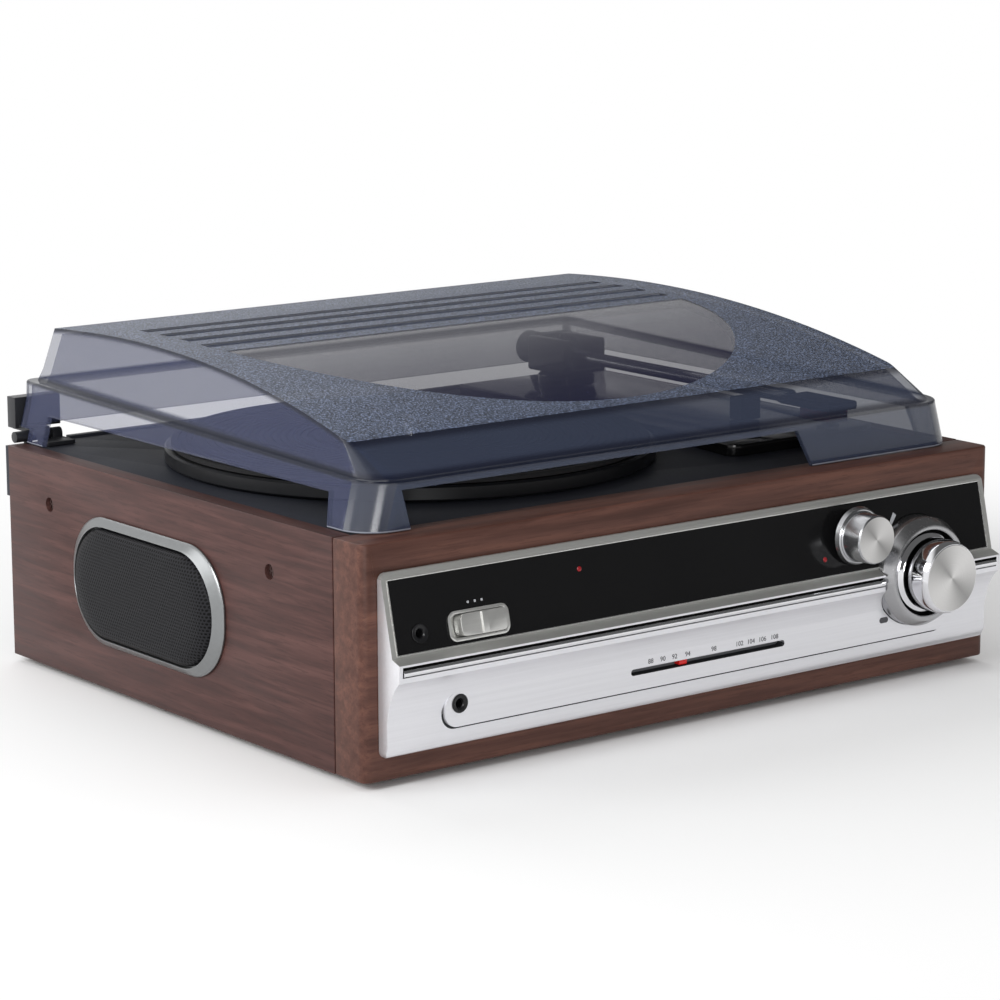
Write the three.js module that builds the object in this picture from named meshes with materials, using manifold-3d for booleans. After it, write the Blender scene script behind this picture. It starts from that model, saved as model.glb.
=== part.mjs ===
// A stereo music centre: a turntable under a hinged dust cover, on a wooden cabinet
// with a radio front and a speaker in each side.
// All lengths are in millimetres. While the pieces are made, x runs to the right from the
// middle of the cabinet, y to the back from its front face, and z up from its underside.
import * as THREE from "three";
import { mergeVertices } from "three/addons/utils/BufferGeometryUtils.js";
import Module from "manifold-3d";

const wasm = await Module();
wasm.setup();

// Clearances that all pieces share
const seatGap = 0.3; // between two pieces that rest on each other
const overrun = 2; // how far a cut runs past the face that it opens
const leastStraight = 0.05; // left between two round corners

// Cabinet boards
const cabinetWidth = 350;
const cabinetDepth = 280;
const cabinetHeight = 98;
const frontBoardThickness = 20.5;
const sideBoardThickness = 9;
const baseBoardThickness = 6;
const backPanelThickness = 3;
const cabinetCornerRadius = 4;
const openingSideMargin = 8; // opening of the front board inside the fascia's edges
const openingMargin = 6;

// Rubber feet
const footRadius = 10;
const footHeight = 3;
const footInset = 34;

// Deck plate
const deckDrop = 0.7; // its top lies this far below the top of the boards
const deckThickness = 3;
const deckFlangeThickness = 3.7;
const deckFlangeHeight = 23.3;
const deckFlangeInset = 1;
const deckLipRise = 1.3; // of the deck's back edge between the hinges
const deckLipMargin = 33; // from its ends to the cabinet's sides

// Platter, mat and spindle
const platterSideMargin = 20.5; // from the left face of the cabinet to the platter
const platterPlaceShare = 293 / 560; // of the cabinet's depth, from its front to the spindle
const platterShare = 221 / 630; // radius, of the mean of the cabinet's width and depth
const platterLift = 1.2; // rim above the deck
const platterHeight = 6.4;
const platterRimWall = 3.5;
const platterWeb = 2.5;
const beltRingInset = 24.5; // belt ring inside the platter's rim
const beltRingWall = 3;
const hubRadius = 9;
const matThickness = 2;
const matInset = 3;
const matRingDepth = 0.6;
const matRingShares = [92 / 221, 184 / 221]; // of the platter's radius
const matRingWidth = 3;
const spindleRadius = 3.5;
const spindleRise = 11; // above the mat
const bearingFlangeRadius = 14;
const bearingFlangeThickness = 0.7;
const bearingTubeRadius = 8;
const bearingDepth = 14;

// Motor and belt
const motorGap = 7; // from the belt ring to the pulley
const motorBearingDegrees = 225;
const motorRadius = 16;
const motorHeight = 22;
const motorShaftRadius = 1.2;
const motorShaftDepth = 12; // of the shaft inside the motor
const pulleyRadius = 4;
const pulleyHeight = 3.4;
const beltHeight = 2.4;
const beltThickness = 0.8;

// Tonearm and its plinth
const plinthClearance = 5.5; // from the platter's rim
const plinthFlare = 7; // how much wider the plinth is in front of its shoulder
const plinthShoulderOffset = 36.5; // shoulder in front of the spindle
const plinthSideMargin = 20;
const plinthFront = 52;
const plinthBackMargin = 16;
const plinthHeight = 5.2;
const plinthCornerRadius = 8;
const armSideShare = 40 / 83; // pivot inside the plinth's right edge, of the plinth's width
const armBackInset = 31;
const stylusFrontMargin = 27; // stylus of the resting arm behind the cover's front wall
const armBaseRadius = 14;
const armBaseHeight = 6;
const yokeWidth = 26;
const yokeDepth = 30;
const yokeHeight = 17;
const yokeFloor = 4;
const yokeSlot = 14;
const armAxisHeight = 15; // above the plinth
const armTubeRadius = 3.5;
const armPinRadius = 2;
const counterweightRadius = 8;
const counterweightLength = 16;
const counterweightRecess = 11; // behind the end of the tube
const headshellLength = 34;
const headshellWidth = 18;
const headshellThickness = 4;
const headshellOverhang = 8; // in front of the stylus
const cartridgeLength = 20;
const cartridgeWidth = 11;
const stylusRadius = 1;
const recordThickness = 2;
const restSetback = 33; // of the arm's rest behind the headshell
const restWidth = 12;
const restDepth = 8;
const restProng = 3;
const restProngRise = 6;

// Speed selector
const speedSideInset = 15; // inside the plinth's edges
const speedFrontInset = 18;
const speedTravel = 12;
const speedStemWidth = 2.4;
const speedStemLength = 5;
const speedCapWidth = 7;
const speedCapLength = 9;
const speedCapHeight = 4;

// Fascia moulding, from the side: reach is how far it stands out from the board, and each
// share is part of the moulding's height, measured down from the point above it
const fasciaSideMargin = 7;
const fasciaTopMargin = 12;
const fasciaBottom = 10;
const fasciaCornerRadius = 5;
const fasciaWall = 3;
const topLipReach = 1.6;
const panelTopReach = 2.6;
const panelTopShare = 1.6 / 76;
const panelBottomReach = 10;
const panelShare = 31.8 / 76;
const lipReach = 15;
const lipShare = 1.8 / 76;
const lipFootReach = 14.6;
const lipFootShare = 7.4 / 76;
const coveUpperReach = 9.4;
const coveUpperShare = 4.4 / 76;
const coveLowerReach = 7.6;
const coveLowerShare = 6 / 76;
const faceReach = 6.3;
const faceShare = 7 / 76;
const faceFootRise = 5;
const footLipReach = 4.6;
const footLipRise = 1.2;
const coveSteps = 6;

// Raised pad on the lower face
const padSideMargin = 27.5; // inside the fascia's left edge
const padPastVolume = 19;
const padBottomShare = 9.2 / 76; // of the moulding's height, above its foot
const padTopShare = 10.4 / 76; // below the foot of the lip
const padRise = 0.5;
const padCornerRadius = 6;

// Black panel in its pocket
const panelInset = 2.4; // from the ends of the fascia
const panelTopMargin = 1;
const panelBottomMargin = 0.6;
const panelThickness = 1.7;
const pocketDepth = 2;

// Chrome strip in its channel
const channelDrop = 1.1;
const channelHeight = 4.1;
const channelDepth = 1.8;
const stripEndInset = 2;
const stripHeight = 2.8;
const stripThickness = 2;

// Volume control
const volumeSideInset = 53;
const volumeDrop = 2; // below the edge of the lip
const collarRadius = 24.8;
const collarBackReach = 4;
const collarShoulderReach = 12.5;
const collarFrontRadius = 21.5;
const collarFrontReach = 17;
const collarWellRadius = 19.6;
const collarFloorReach = 12;
const volumeFlangeRadius = 18.2;
const volumeFlangeLift = 1.2; // above the floor of the collar
const volumeFlangeThickness = 3;
const volumeKnobRadius = 16.2;
const volumeFaceRadius = 15.4;
const volumeKnobReach = 31;
const volumeChamfer = 1.4;
const volumePotRadius = 8.5;
const shaftRadius = 3;
const shaftKnobDepth = 10; // of a shaft inside its knob
const shaftBodyDepth = 5; // of a shaft inside its control

// Tuning control
const tuningOffset = 38.3; // left of the volume control
const tuningRiseShare = 17.1 / 31.8; // of the panel's height, above its lower edge
const tuningSkirtRadius = 13.1;
const tuningSkirtLift = 0.6; // above the panel
const tuningSkirtFrontRadius = 11.9;
const tuningSkirtThickness = 2.8;
const tuningKnobRadius = 11.1;
const tuningFaceRadius = 10.4;
const tuningKnobLength = 13.1;
const tuningChamfer = 0.9;
const tunerShare = 0.5; // side of the tuning capacitor, of the panel's height

// Dial
const dialHalfLength = 43.3;
const dialShare = 5.9 / 76; // below the pad's top, of the moulding's height
const dialSlotHeight = 2.8;
const pointerX = -13.4;
const pointerLength = 4.4;
const backingThickness = 1.2;
const backingHeight = 8;
const backingMargin = 6;

// Function selector, on the panel: along is measured up the slope from its lower edge
const selectorSideInset = 51.5;
const selectorAlong = 8.6;
const selectorWidth = 30.6;
const selectorHeight = 12.4;
const selectorCornerRadius = 3.6;
const selectorFrame = 1;
const selectorFrameRise = 0.6;
const selectorDepth = 5;
const selectorFloor = 1.2;
const selectorTravel = 4;
const sliderRise = 1.6;
const sliderRidgeWidth = 3;
const sliderRidgeRise = 1;
const sliderCornerRadius = 3;

// Sockets and lamps
const auxSideInset = 22;
const auxAlong = 8.4;
const headphoneSideInset = 41.8;
const headphoneShare = 4.2 / 76; // below the pad's top, of the moulding's height
const socketRadius = 4;
const socketBore = 1.8;
const socketBarrelRadius = 3.4;
const socketLip = 0.8;
const socketRise = 0.6;
const socketLength = 10;
const powerLampShare = 687 / 1750; // left of the middle, of half the cabinet's width
const powerLampRiseShare = 0.7014; // up the panel's slope
const stereoLampOffset = 17; // left of the tuning control
const stereoLampAlong = 8.5;
const lampRadius = 1.3;
const lampLength = 4;
const lampRise = 0.4;

// Boards and transformer
const boardDepth = 6.8; // main board behind the face of the cabinet
const boardThickness = 1.6;
const boardSideMargin = 10; // inside the front board's opening
const boardMargin = 2;
const transformerSideInset = 85;
const transformerBackInset = 75;
const transformerWidth = 50;
const transformerDepth = 38;
const transformerHeight = 42;
const coilWidth = 30;
const coilOverhang = 7;

// Speakers in the sides
const speakerPlaceShare = 803 / 1400; // of the cabinet's depth, from its front
const bezelHalfLength = 61.2;
const bezelHalfHeight = 28.9;
const bezelCornerRadius = 26.9;
const bezelEdge = 0.8; // upright edge at the board
const bezelRise = 4;
const bezelBandLength = 5;
const bezelBandHeight = 3.5;
const grilleClearance = 0.6;
const grilleEdgeRise = 2.2;
const grilleRise = 7;
const grilleWall = 1.2;
const grilleShoulderShare = 0.93;
const grilleShoulderRiseShare = 0.75;
const grilleCrownShare = 0.72;
const speakerHoleMargin = 4;
const driverFlangeMargin = 3;
const driverFlangeThickness = 2;
const driverDepth = 19;
const coneWall = 1.5;
const magnetRadius = 16;
const magnetDepth = 12;
const coneEndRadius = 9;

// Dust cover: each rise is measured up from the top of the boards
const coverSideMargin = 14;
const coverFront = 11.5;
const coverBackOverhang = 10;
const coverWall = 2.5;
const coverFrontCorner = 14; // round in plan at the ledge
const coverFootCorner = 7; // round in plan at the feet
const coverBackCorner = 6;
const skirtFlare = 5.5; // how much further out each side is at the feet
const ledgeFrontRise = 21;
const ledgeBackRise = 28;
const crownSideInset = 2.5;
const crownFrontInset = 2.5;
const crownBackInset = 6;
const crownCorner = 11.5; // round in plan at the ledge
const creaseCorner = 2.5;
const creaseInset = 27.5;
const creaseRise = 33.4;
const creaseSideInset = 7;
const crownTopInset = 14;
const crownTopRise = 52.3;
const crownTopSideInset = 10;
const riseHandleShare = 1 / 3;
const riseHandleRise = 54.2;
const fallHandleShare = 2 / 3;
const fallHandleRise = 57.9;
const crownSteps = 10;
const skirtSideRise = 14.2;
const skirtFrontRise = 17.2;
const frontFootDepth = 28.5;
const frontFootSlant = 4; // its back edge comes forward by this at the bottom
const leftFootWidth = 19;
const leftFootTaper = 5;
const rightFootWidth = 83;
const rightFootTaper = 10.5;
const backLegDepth = 13.5;
const backLegInset = 12.5;
const ribCount = 4;
const ribOffset = 9; // behind the window's straight edge
const ribPitch = 17;
const ribSideMargin = 19; // inside the top's edges
const ribSlant = 1.5;
const ribDepth = 1;
const windowX = 0.9;
const windowPlaceShare = 881 / 1400; // middle of its arc, of the cabinet's depth
const windowSideMargin = 19.7; // inside the top's edges
const windowFrontMargin = 5.9; // behind the crease
const windowChordOffset = 10.8; // straight edge in front of the arc's middle
const windowSink = 0.4;
const windowSteps = 24;

// Hinges of the cover
const hingeOverhang = 10; // outside the cover's ledge
const hingeWidth = 24;
const hingeAxisOverhang = 1; // behind the boards
const hingeAxisRise = 3.7; // above the deck
const hingeBarrelRadius = 2.6;
const hingePinRadius = 1.1;
const hingeLugWidth = 5;
const hingeOuterLugWidth = 8;
const hingePlateLength = 14;
const hingePlateThickness = 1.8;
const hingeWebRise = 1; // above the axis
const hingeWebThickness = 2.4;
const hingeLeafInset = 6; // inside the outer lug's end
const hingeLeafRise = 2; // above the axis
const hingeLeafWidth = 24;
const hingeLeafThickness = 7;
const hingeLeafHeight = 14.5;

// Rear connections
const lineOutSideInset = 115;
const lineOutZ = 40;
const lineOutWidth = 38;
const lineOutHeight = 18;
const lineOutPlate = 1.5;
const lineOutPitch = 18;
const lineOutRadius = 4.2;
const lineOutLength = 8;
const lineOutBore = 1.6;
const lineOutBoreDepth = 6;
const lineOutStemRadius = 2.7;
const glandSideInset = 45;
const glandZ = 30;
const glandRadius = 7;
const glandBore = 3.2;
const glandNeck = 4.5;
const glandLip = 3;
const rearTail = 2; // of a socket or gland inside the back panel

// Steps round a circle, by size
const fineSteps = 48;
const roundSteps = 24;
const smallSteps = 14;
const cornerSteps = 6;

// Sizes that follow from the ones above: cabinet and deck
const sideFace = cabinetWidth / 2;
const innerHalfWidth = sideFace - sideBoardThickness - seatGap;
const deckTop = cabinetHeight - deckDrop;
const deckBottom = deckTop - deckThickness;
const deckBack = cabinetDepth + seatGap + deckFlangeThickness;

// Platter and motor
const platterRadius = ((cabinetWidth + cabinetDepth) / 2) * platterShare;
const platterX = platterSideMargin + platterRadius - sideFace;
const platterY = cabinetDepth * platterPlaceShare;
const platterBottom = deckTop + platterLift;
const platterTop = platterBottom + platterHeight;
const webBottom = platterTop - platterWeb;
const matTop = platterTop + seatGap + matThickness;
const bearingTop = deckTop + seatGap + bearingFlangeThickness;
const hubBottom = bearingTop + seatGap;
const beltRingRadius = platterRadius - beltRingInset;
const motorDistance = beltRingRadius + motorGap + pulleyRadius;
const motorAngle = THREE.MathUtils.degToRad(motorBearingDegrees);
const motorX = platterX + motorDistance * Math.cos(motorAngle);
const motorY = platterY + motorDistance * Math.sin(motorAngle);

// Tonearm
const plinthShoulder = platterX + platterRadius + plinthClearance;
const plinthLeft = plinthShoulder - plinthFlare;
const plinthRight = sideFace - plinthSideMargin;
const plinthShoulderY = platterY - plinthShoulderOffset;
const plinthBack = cabinetDepth - plinthBackMargin;
const plinthBottom = deckTop + seatGap;
const plinthTop = plinthBottom + plinthHeight;
const armPivotX = plinthRight - (plinthRight - plinthShoulder) * armSideShare;
const armPivotY = plinthBack - armBackInset;
const stylusY = coverFront + coverWall + stylusFrontMargin;
const shellBack = stylusY - headshellOverhang + headshellLength;
const armRearReach = yokeDepth / 2 + seatGap + counterweightLength - counterweightRecess;
const armZ = plinthTop + armAxisHeight;
const stylusTip = matTop + recordThickness + seatGap;
const restY = shellBack + restSetback;
const speedX = plinthRight - speedSideInset;
const speedY = plinthFront + speedFrontInset;

// Fascia
const fasciaHalfWidth = sideFace - fasciaSideMargin;
const fasciaTop = cabinetHeight - fasciaTopMargin;
const openingHalfWidth = fasciaHalfWidth - openingSideMargin;
const openingBottom = fasciaBottom + openingMargin;
const openingTop = fasciaTop - openingMargin;
const fasciaHeight = fasciaTop - fasciaBottom;
const panelDrop = fasciaHeight * panelShare;
const panelTopHeight = fasciaTop - fasciaHeight * panelTopShare;
const panelBottomHeight = panelTopHeight - panelDrop;
const lipHeight = panelBottomHeight - fasciaHeight * lipShare;
const lipFootHeight = lipHeight - fasciaHeight * lipFootShare;
const coveUpperHeight = lipFootHeight - fasciaHeight * coveUpperShare;
const coveLowerHeight = coveUpperHeight - fasciaHeight * coveLowerShare;
const faceTopHeight = coveLowerHeight - fasciaHeight * faceShare;
const faceBottomHeight = fasciaBottom + faceFootRise;
const footLipHeight = fasciaBottom + footLipRise;
const slopeRun = panelBottomReach - panelTopReach;
const panelTilt = Math.atan2(slopeRun, panelDrop);
const slopeLength = Math.hypot(slopeRun, panelDrop);
const wallBackReach = faceReach - fasciaWall;
const channelTop = lipHeight - channelDrop;
const channelBottom = channelTop - channelHeight;
const stripBottom = channelBottom + seatGap;
const stripTop = stripBottom + stripHeight;
const volumeX = sideFace - volumeSideInset;
const volumeZ = lipHeight - volumeDrop;
const volumeFlangeBackReach = collarFloorReach + volumeFlangeLift;
const tuningX = volumeX - tuningOffset;
const tuningRise = panelDrop * tuningRiseShare;
const tuningZ = panelBottomHeight + tuningRise;
const skirtFootReach =
  panelBottomReach - ((tuningRise - tuningSkirtRadius) * slopeRun) / panelDrop;
const tuningSkirtBackReach = skirtFootReach + tuningSkirtLift;
const tuningKnobReach = tuningSkirtBackReach + tuningKnobLength;
const padLeft = padSideMargin - fasciaHalfWidth;
const padRight = volumeX + padPastVolume;
const padBottom = fasciaBottom + fasciaHeight * padBottomShare;
const padTop = lipFootHeight - fasciaHeight * padTopShare;
const dialZ = padTop - fasciaHeight * dialShare;
const selectorX = selectorSideInset - sideFace;
const auxX = auxSideInset - sideFace;
const headphoneX = headphoneSideInset - sideFace;
const headphoneZ = padTop - fasciaHeight * headphoneShare;
const powerLampX = -sideFace * powerLampShare;
const powerLampAlong = slopeLength * powerLampRiseShare;
const stereoLampX = tuningX - stereoLampOffset;
const tunerSide = panelDrop * tunerShare;

// Speakers, transformer and rear connections
const speakerY = cabinetDepth * speakerPlaceShare;
const speakerZ = cabinetHeight / 2;
const transformerX = sideFace - transformerSideInset;
const transformerY = cabinetDepth - transformerBackInset;
const lineOutX = sideFace - lineOutSideInset;
const glandX = sideFace - glandSideInset;

// Dust cover and hinges
const coverHalfWidth = sideFace - coverSideMargin;
const coverBack = cabinetDepth + coverBackOverhang;
const ledgeFrontHeight = cabinetHeight + ledgeFrontRise;
const ledgeBackHeight = cabinetHeight + ledgeBackRise;
const creaseY = coverFront + creaseInset;
const creaseHeight = cabinetHeight + creaseRise;
const crownTopY = coverBack - crownTopInset;
const crownTopHeight = cabinetHeight + crownTopRise;
const crownBack = coverBack - crownBackInset;
const riseHandleY = creaseY + (crownTopY - creaseY) * riseHandleShare;
const riseHandleHeight = cabinetHeight + riseHandleRise;
const fallHandleY = creaseY + (crownTopY - creaseY) * fallHandleShare;
const fallHandleHeight = cabinetHeight + fallHandleRise;
const skirtSideHeight = cabinetHeight + skirtSideRise;
const skirtFrontHeight = cabinetHeight + skirtFrontRise;
const frontFootBack = coverFront + frontFootDepth;
const leftFootRight = leftFootWidth - coverHalfWidth;
const rightFootLeft = coverHalfWidth - rightFootWidth;
const backLegBack = coverBack - backLegInset;
const backLegFront = backLegBack - backLegDepth;
const coverFootBottom = cabinetHeight + seatGap;
const crownTopHalf = coverHalfWidth - crownTopSideInset;
const windowY = cabinetDepth * windowPlaceShare;
const windowChordY = windowY - windowChordOffset;
const windowHalfWidth = crownTopHalf - windowSideMargin;
const windowDepth = windowY - creaseY - windowFrontMargin;
const ribHalfLength = crownTopHalf - ribSideMargin;
const ribFront = windowChordY + ribOffset;
const flareReach = coverHalfWidth + skirtFlare + overrun;
const hingeOuterX = coverHalfWidth + hingeOverhang;
const hingeInnerX = hingeOuterX - hingeWidth;
const hingeAxisY = cabinetDepth + hingeAxisOverhang;
const hingeAxisHeight = deckTop + hingeAxisRise;
const hingeWebBottom = hingeAxisHeight + hingeWebRise;
const hingeWebTop = hingeWebBottom + hingeWebThickness;
const hingeLeafBottom = hingeAxisHeight + hingeLeafRise;
const hingeLeafOuterX = hingeOuterX - hingeLeafInset;
const skirtBackHeight = hingeWebTop + seatGap;

// Turns a closed three.js geometry into a solid for joining and cutting.
function solidOf(geometry) {
  const plain = geometry.index ? geometry.toNonIndexed() : geometry.clone();
  for (const name of Object.keys(plain.attributes)) {
    if (name !== "position") {
      plain.deleteAttribute(name);
    }
  }
  const merged = mergeVertices(plain);
  const corners = Array.from(merged.index.array);
  const faces = [];
  for (let i = 0; i < corners.length; i += 3) {
    const [a, b, c] = corners.slice(i, i + 3);
    if (a !== b && b !== c && c !== a) {
      faces.push([a, b, c]);
    }
  }
  const make = (list) =>
    new wasm.Manifold(
      new wasm.Mesh({
        numProp: 3,
        vertProperties: merged.attributes.position.array,
        triVerts: new Uint32Array(list.flat()),
      }),
    );
  const solid = make(faces);
  return solid.volume() < 0 ? make(faces.map(([a, b, c]) => [a, c, b])) : solid;
}

function geometryOf(solid) {
  const mesh = solid.getMesh();
  const geometry = new THREE.BufferGeometry();
  const positions = new THREE.BufferAttribute(new Float32Array(mesh.vertProperties), 3);
  geometry.setAttribute("position", positions);
  geometry.setIndex(new THREE.BufferAttribute(new Uint32Array(mesh.triVerts), 1));
  geometry.computeVertexNormals();
  return geometry;
}

function joined(first, ...others) {
  return others.reduce((sum, next) => sum.add(next), first);
}

function cut(body, ...tools) {
  return tools.reduce((rest, tool) => rest.subtract(tool), body);
}

function block([x0, x1], [y0, y1], [z0, z1]) {
  const box = new THREE.BoxGeometry(x1 - x0, y1 - y0, z1 - z0);
  box.translate((x0 + x1) / 2, (y0 + y1) / 2, (z0 + z1) / 2);
  return solidOf(box);
}

// An outline drawn square to one axis and drawn out along it. Across "x" the outline's
// points are (y, z), across "y" they are (x, z), and across "z" they are (x, y).
function prism(outline, axis, from, to) {
  const shape = new THREE.Shape(outline.map(([a, b]) => new THREE.Vector2(a, b)));
  const depth = to - from;
  const geometry = new THREE.ExtrudeGeometry(shape, { depth, bevelEnabled: false, steps: 1 });
  const turn = new THREE.Matrix4();
  const [ex, ey, ez] = [
    new THREE.Vector3(1, 0, 0),
    new THREE.Vector3(0, 1, 0),
    new THREE.Vector3(0, 0, 1),
  ];
  if (axis === "x") {
    turn.makeBasis(ey, ez, ex);
    geometry.translate(0, 0, from);
  } else if (axis === "y") {
    turn.makeBasis(ex, ez, ey.clone().negate());
    geometry.translate(0, 0, -to);
  } else {
    geometry.translate(0, 0, from);
  }
  geometry.applyMatrix4(turn);
  return solidOf(geometry);
}

// A profile of [radius, place along the axis] points turned round an axis.
function turned(profile, axis, [a, b], steps = roundSteps) {
  const points = profile.map(([radius, place]) => new THREE.Vector2(radius, place));
  const geometry = new THREE.LatheGeometry(points, steps);
  if (axis === "z") {
    geometry.rotateX(Math.PI / 2);
    geometry.translate(a, b, 0);
  } else if (axis === "x") {
    geometry.rotateZ(-Math.PI / 2);
    geometry.translate(0, a, b);
  } else {
    geometry.translate(a, 0, b);
  }
  return solidOf(geometry);
}

function rod(radius, axis, from, to, centre, steps = roundSteps) {
  return turned([[0, from], [radius, from], [radius, to], [0, to]], axis, centre, steps);
}

function ring(inner, outer, axis, from, to, centre, steps = roundSteps) {
  const profile = [[inner, from], [outer, from], [outer, to], [inner, to], [inner, from]];
  return turned(profile, axis, centre, steps);
}

// A rectangle with round corners as a list of points, anticlockwise.
function roundedOutline([a0, a1], [b0, b1], radius, steps = cornerSteps) {
  const limit = Math.min(radius, (a1 - a0 - leastStraight) / 2, (b1 - b0 - leastStraight) / 2);
  const centres = [
    [a1 - limit, b0 + limit, -Math.PI / 2],
    [a1 - limit, b1 - limit, 0],
    [a0 + limit, b1 - limit, Math.PI / 2],
    [a0 + limit, b0 + limit, Math.PI],
  ];
  const points = [];
  for (const [ca, cb, start] of centres) {
    for (let i = 0; i <= steps; i++) {
      const angle = start + (Math.PI / 2) * (i / steps);
      points.push([ca + limit * Math.cos(angle), cb + limit * Math.sin(angle)]);
    }
  }
  return points;
}

function ovalOutline(halfLength, halfHeight, radius = halfHeight) {
  return roundedOutline(
    [speakerY - halfLength, speakerY + halfLength],
    [speakerZ - halfHeight, speakerZ + halfHeight],
    radius,
  );
}

// A solid through outlines of as many points each, stacked along x or z. The outlines'
// points are as for a prism.
function loft(levels, axis = "x") {
  const count = levels[0].outline.length;
  const positions = [];
  for (const { outline, at } of levels) {
    for (const [a, b] of outline) {
      positions.push(...(axis === "x" ? [at, a, b] : [a, b, at]));
    }
  }
  const faces = [];
  for (let level = 0; level + 1 < levels.length; level++) {
    for (let i = 0; i < count; i++) {
      const j = (i + 1) % count;
      const [a, b] = [level * count + i, level * count + j];
      faces.push(a, b, b + count, a, b + count, a + count);
    }
  }
  const caps = [[levels[0], 0, false], [levels.at(-1), (levels.length - 1) * count, true]];
  for (const [{ outline }, start, keep] of caps) {
    const contour = outline.map(([a, b]) => new THREE.Vector2(a, b));
    for (const [a, b, c] of THREE.ShapeUtils.triangulateShape(contour, [])) {
      faces.push(...(keep ? [start + a, start + b, start + c] : [start + a, start + c, start + b]));
    }
  }
  const geometry = new THREE.BufferGeometry();
  geometry.setAttribute("position", new THREE.Float32BufferAttribute(positions, 3));
  geometry.setIndex(faces);
  return solidOf(geometry);
}

function material(color, roughness, metalness = 0) {
  return new THREE.MeshStandardMaterial({ color, roughness, metalness });
}

function add(group, name, solid, finish) {
  const mesh = new THREE.Mesh(geometryOf(solid), finish);
  mesh.name = name;
  group.add(mesh);
}

const walnut = () => material(0x5a3a2e, 0.45);
const blackPlastic = () => material(0x24262b, 0.5);
const deckPlastic = () => material(0x33363d, 0.45);
const glossBlack = () => material(0x101010, 0.12);
const silver = () => material(0xc9cacc, 0.35, 0.6);
const spunMetal = () => material(0xd2d2cf, 0.3, 0.9);
const chrome = () => material(0xe6e6e6, 0.08, 1);
const steel = () => material(0x9c9fa3, 0.35, 0.9);
const brass = () => material(0xb08a45, 0.35, 0.9);
const rubber = () => material(0x17171a, 0.8);
const redPlastic = () => material(0xd01c1c, 0.35);
const board = () => material(0x2f5d3a, 0.6);

const musicCentre = new THREE.Group();
const rearReach = coverBack + seatGap + hingeLeafThickness;
musicCentre.position.set(0, -(rearReach - volumeKnobReach) / 2, footHeight + seatGap);

// Cabinet
const cabinet = new THREE.Group();
musicCentre.add(cabinet);

function frontBoard() {
  const across = [-sideFace, sideFace];
  const rounded = roundedOutline(
    across,
    [0, frontBoardThickness + cabinetCornerRadius],
    cabinetCornerRadius,
  );
  const opening = block(
    [-openingHalfWidth, openingHalfWidth],
    [-overrun, frontBoardThickness + overrun],
    [openingBottom, openingTop],
  );
  return prism(rounded, "z", 0, cabinetHeight)
    .intersect(block(across, [0, frontBoardThickness], [0, cabinetHeight]))
    .subtract(opening);
}
add(cabinet, "front_board", frontBoard(), walnut());

const holeLength = bezelHalfLength - bezelBandLength - speakerHoleMargin;
const holeHeight = bezelHalfHeight - bezelBandHeight - speakerHoleMargin;
const sides = [["left", -1], ["right", 1]];
const outward = (side, near, far) => (side < 0 ? [-far, -near] : [near, far]);

for (const [word, side] of sides) {
  const boardSolid = block(
    outward(side, sideFace - sideBoardThickness, sideFace),
    [frontBoardThickness + seatGap, cabinetDepth],
    [0, cabinetHeight],
  );
  const [from, to] = outward(side, sideFace - sideBoardThickness - overrun, sideFace + overrun);
  const hole = prism(ovalOutline(holeLength, holeHeight), "x", from, to);
  add(cabinet, word + "_side_board", boardSolid.subtract(hole), walnut());
}

const baseBoard = block(
  [-innerHalfWidth, innerHalfWidth],
  [frontBoardThickness + seatGap, cabinetDepth - backPanelThickness - seatGap],
  [0, baseBoardThickness],
);
add(cabinet, "base_board", baseBoard, material(0x8a6a4d, 0.8));

const lineOutPlaces = [lineOutX - lineOutPitch / 2, lineOutX + lineOutPitch / 2];
const panelInside = cabinetDepth - backPanelThickness;
const panelOutside = cabinetDepth + seatGap;
function backHole(radius, place) {
  const [from, to] = [panelInside - overrun, cabinetDepth + overrun];
  return rod(radius + seatGap, "y", from, to, place, smallSteps);
}
const backPanel = block(
  [-innerHalfWidth, innerHalfWidth],
  [panelInside, cabinetDepth],
  [0, deckBottom - seatGap],
);
const backHoles = [
  ...lineOutPlaces.map((x) => backHole(lineOutStemRadius, [x, lineOutZ])),
  backHole(glandNeck, [glandX, glandZ]),
];
add(cabinet, "back_panel", cut(backPanel, ...backHoles), blackPlastic());

const footNames = [
  ["front_left_foot", -1, footInset],
  ["front_right_foot", 1, footInset],
  ["rear_left_foot", -1, cabinetDepth - footInset],
  ["rear_right_foot", 1, cabinetDepth - footInset],
];
for (const [name, side, y] of footNames) {
  const x = side * (sideFace - footInset);
  const foot = rod(footRadius, "z", -seatGap - footHeight, -seatGap, [x, y], smallSteps);
  add(cabinet, name, foot, rubber());
}

// Line-out sockets and the inlet gland in the back panel
function lineOutSockets() {
  const plate = block(
    [lineOutX - lineOutWidth / 2, lineOutX + lineOutWidth / 2],
    [panelOutside, panelOutside + lineOutPlate],
    [lineOutZ - lineOutHeight / 2, lineOutZ + lineOutHeight / 2],
  );
  const end = panelOutside + lineOutLength;
  const profile = [
    [0, panelInside - rearTail],
    [lineOutStemRadius, panelInside - rearTail],
    [lineOutStemRadius, panelOutside],
    [lineOutRadius, panelOutside],
    [lineOutRadius, end],
    [lineOutBore, end],
    [lineOutBore, end - lineOutBoreDepth],
    [0, end - lineOutBoreDepth],
  ];
  const barrels = lineOutPlaces.map((x) => turned(profile, "y", [x, lineOutZ], smallSteps));
  return joined(plate, ...barrels);
}
add(cabinet, "line_out_sockets", lineOutSockets(), steel());

const glandProfile = [
  [glandBore, panelInside - rearTail],
  [glandNeck, panelInside - rearTail],
  [glandNeck, panelOutside],
  [glandRadius, panelOutside],
  [glandNeck, panelOutside + glandLip],
  [glandBore, panelOutside + glandLip],
  [glandBore, panelInside - rearTail],
];
add(cabinet, "cord_gland", turned(glandProfile, "y", [glandX, glandZ], smallSteps), rubber());

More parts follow.
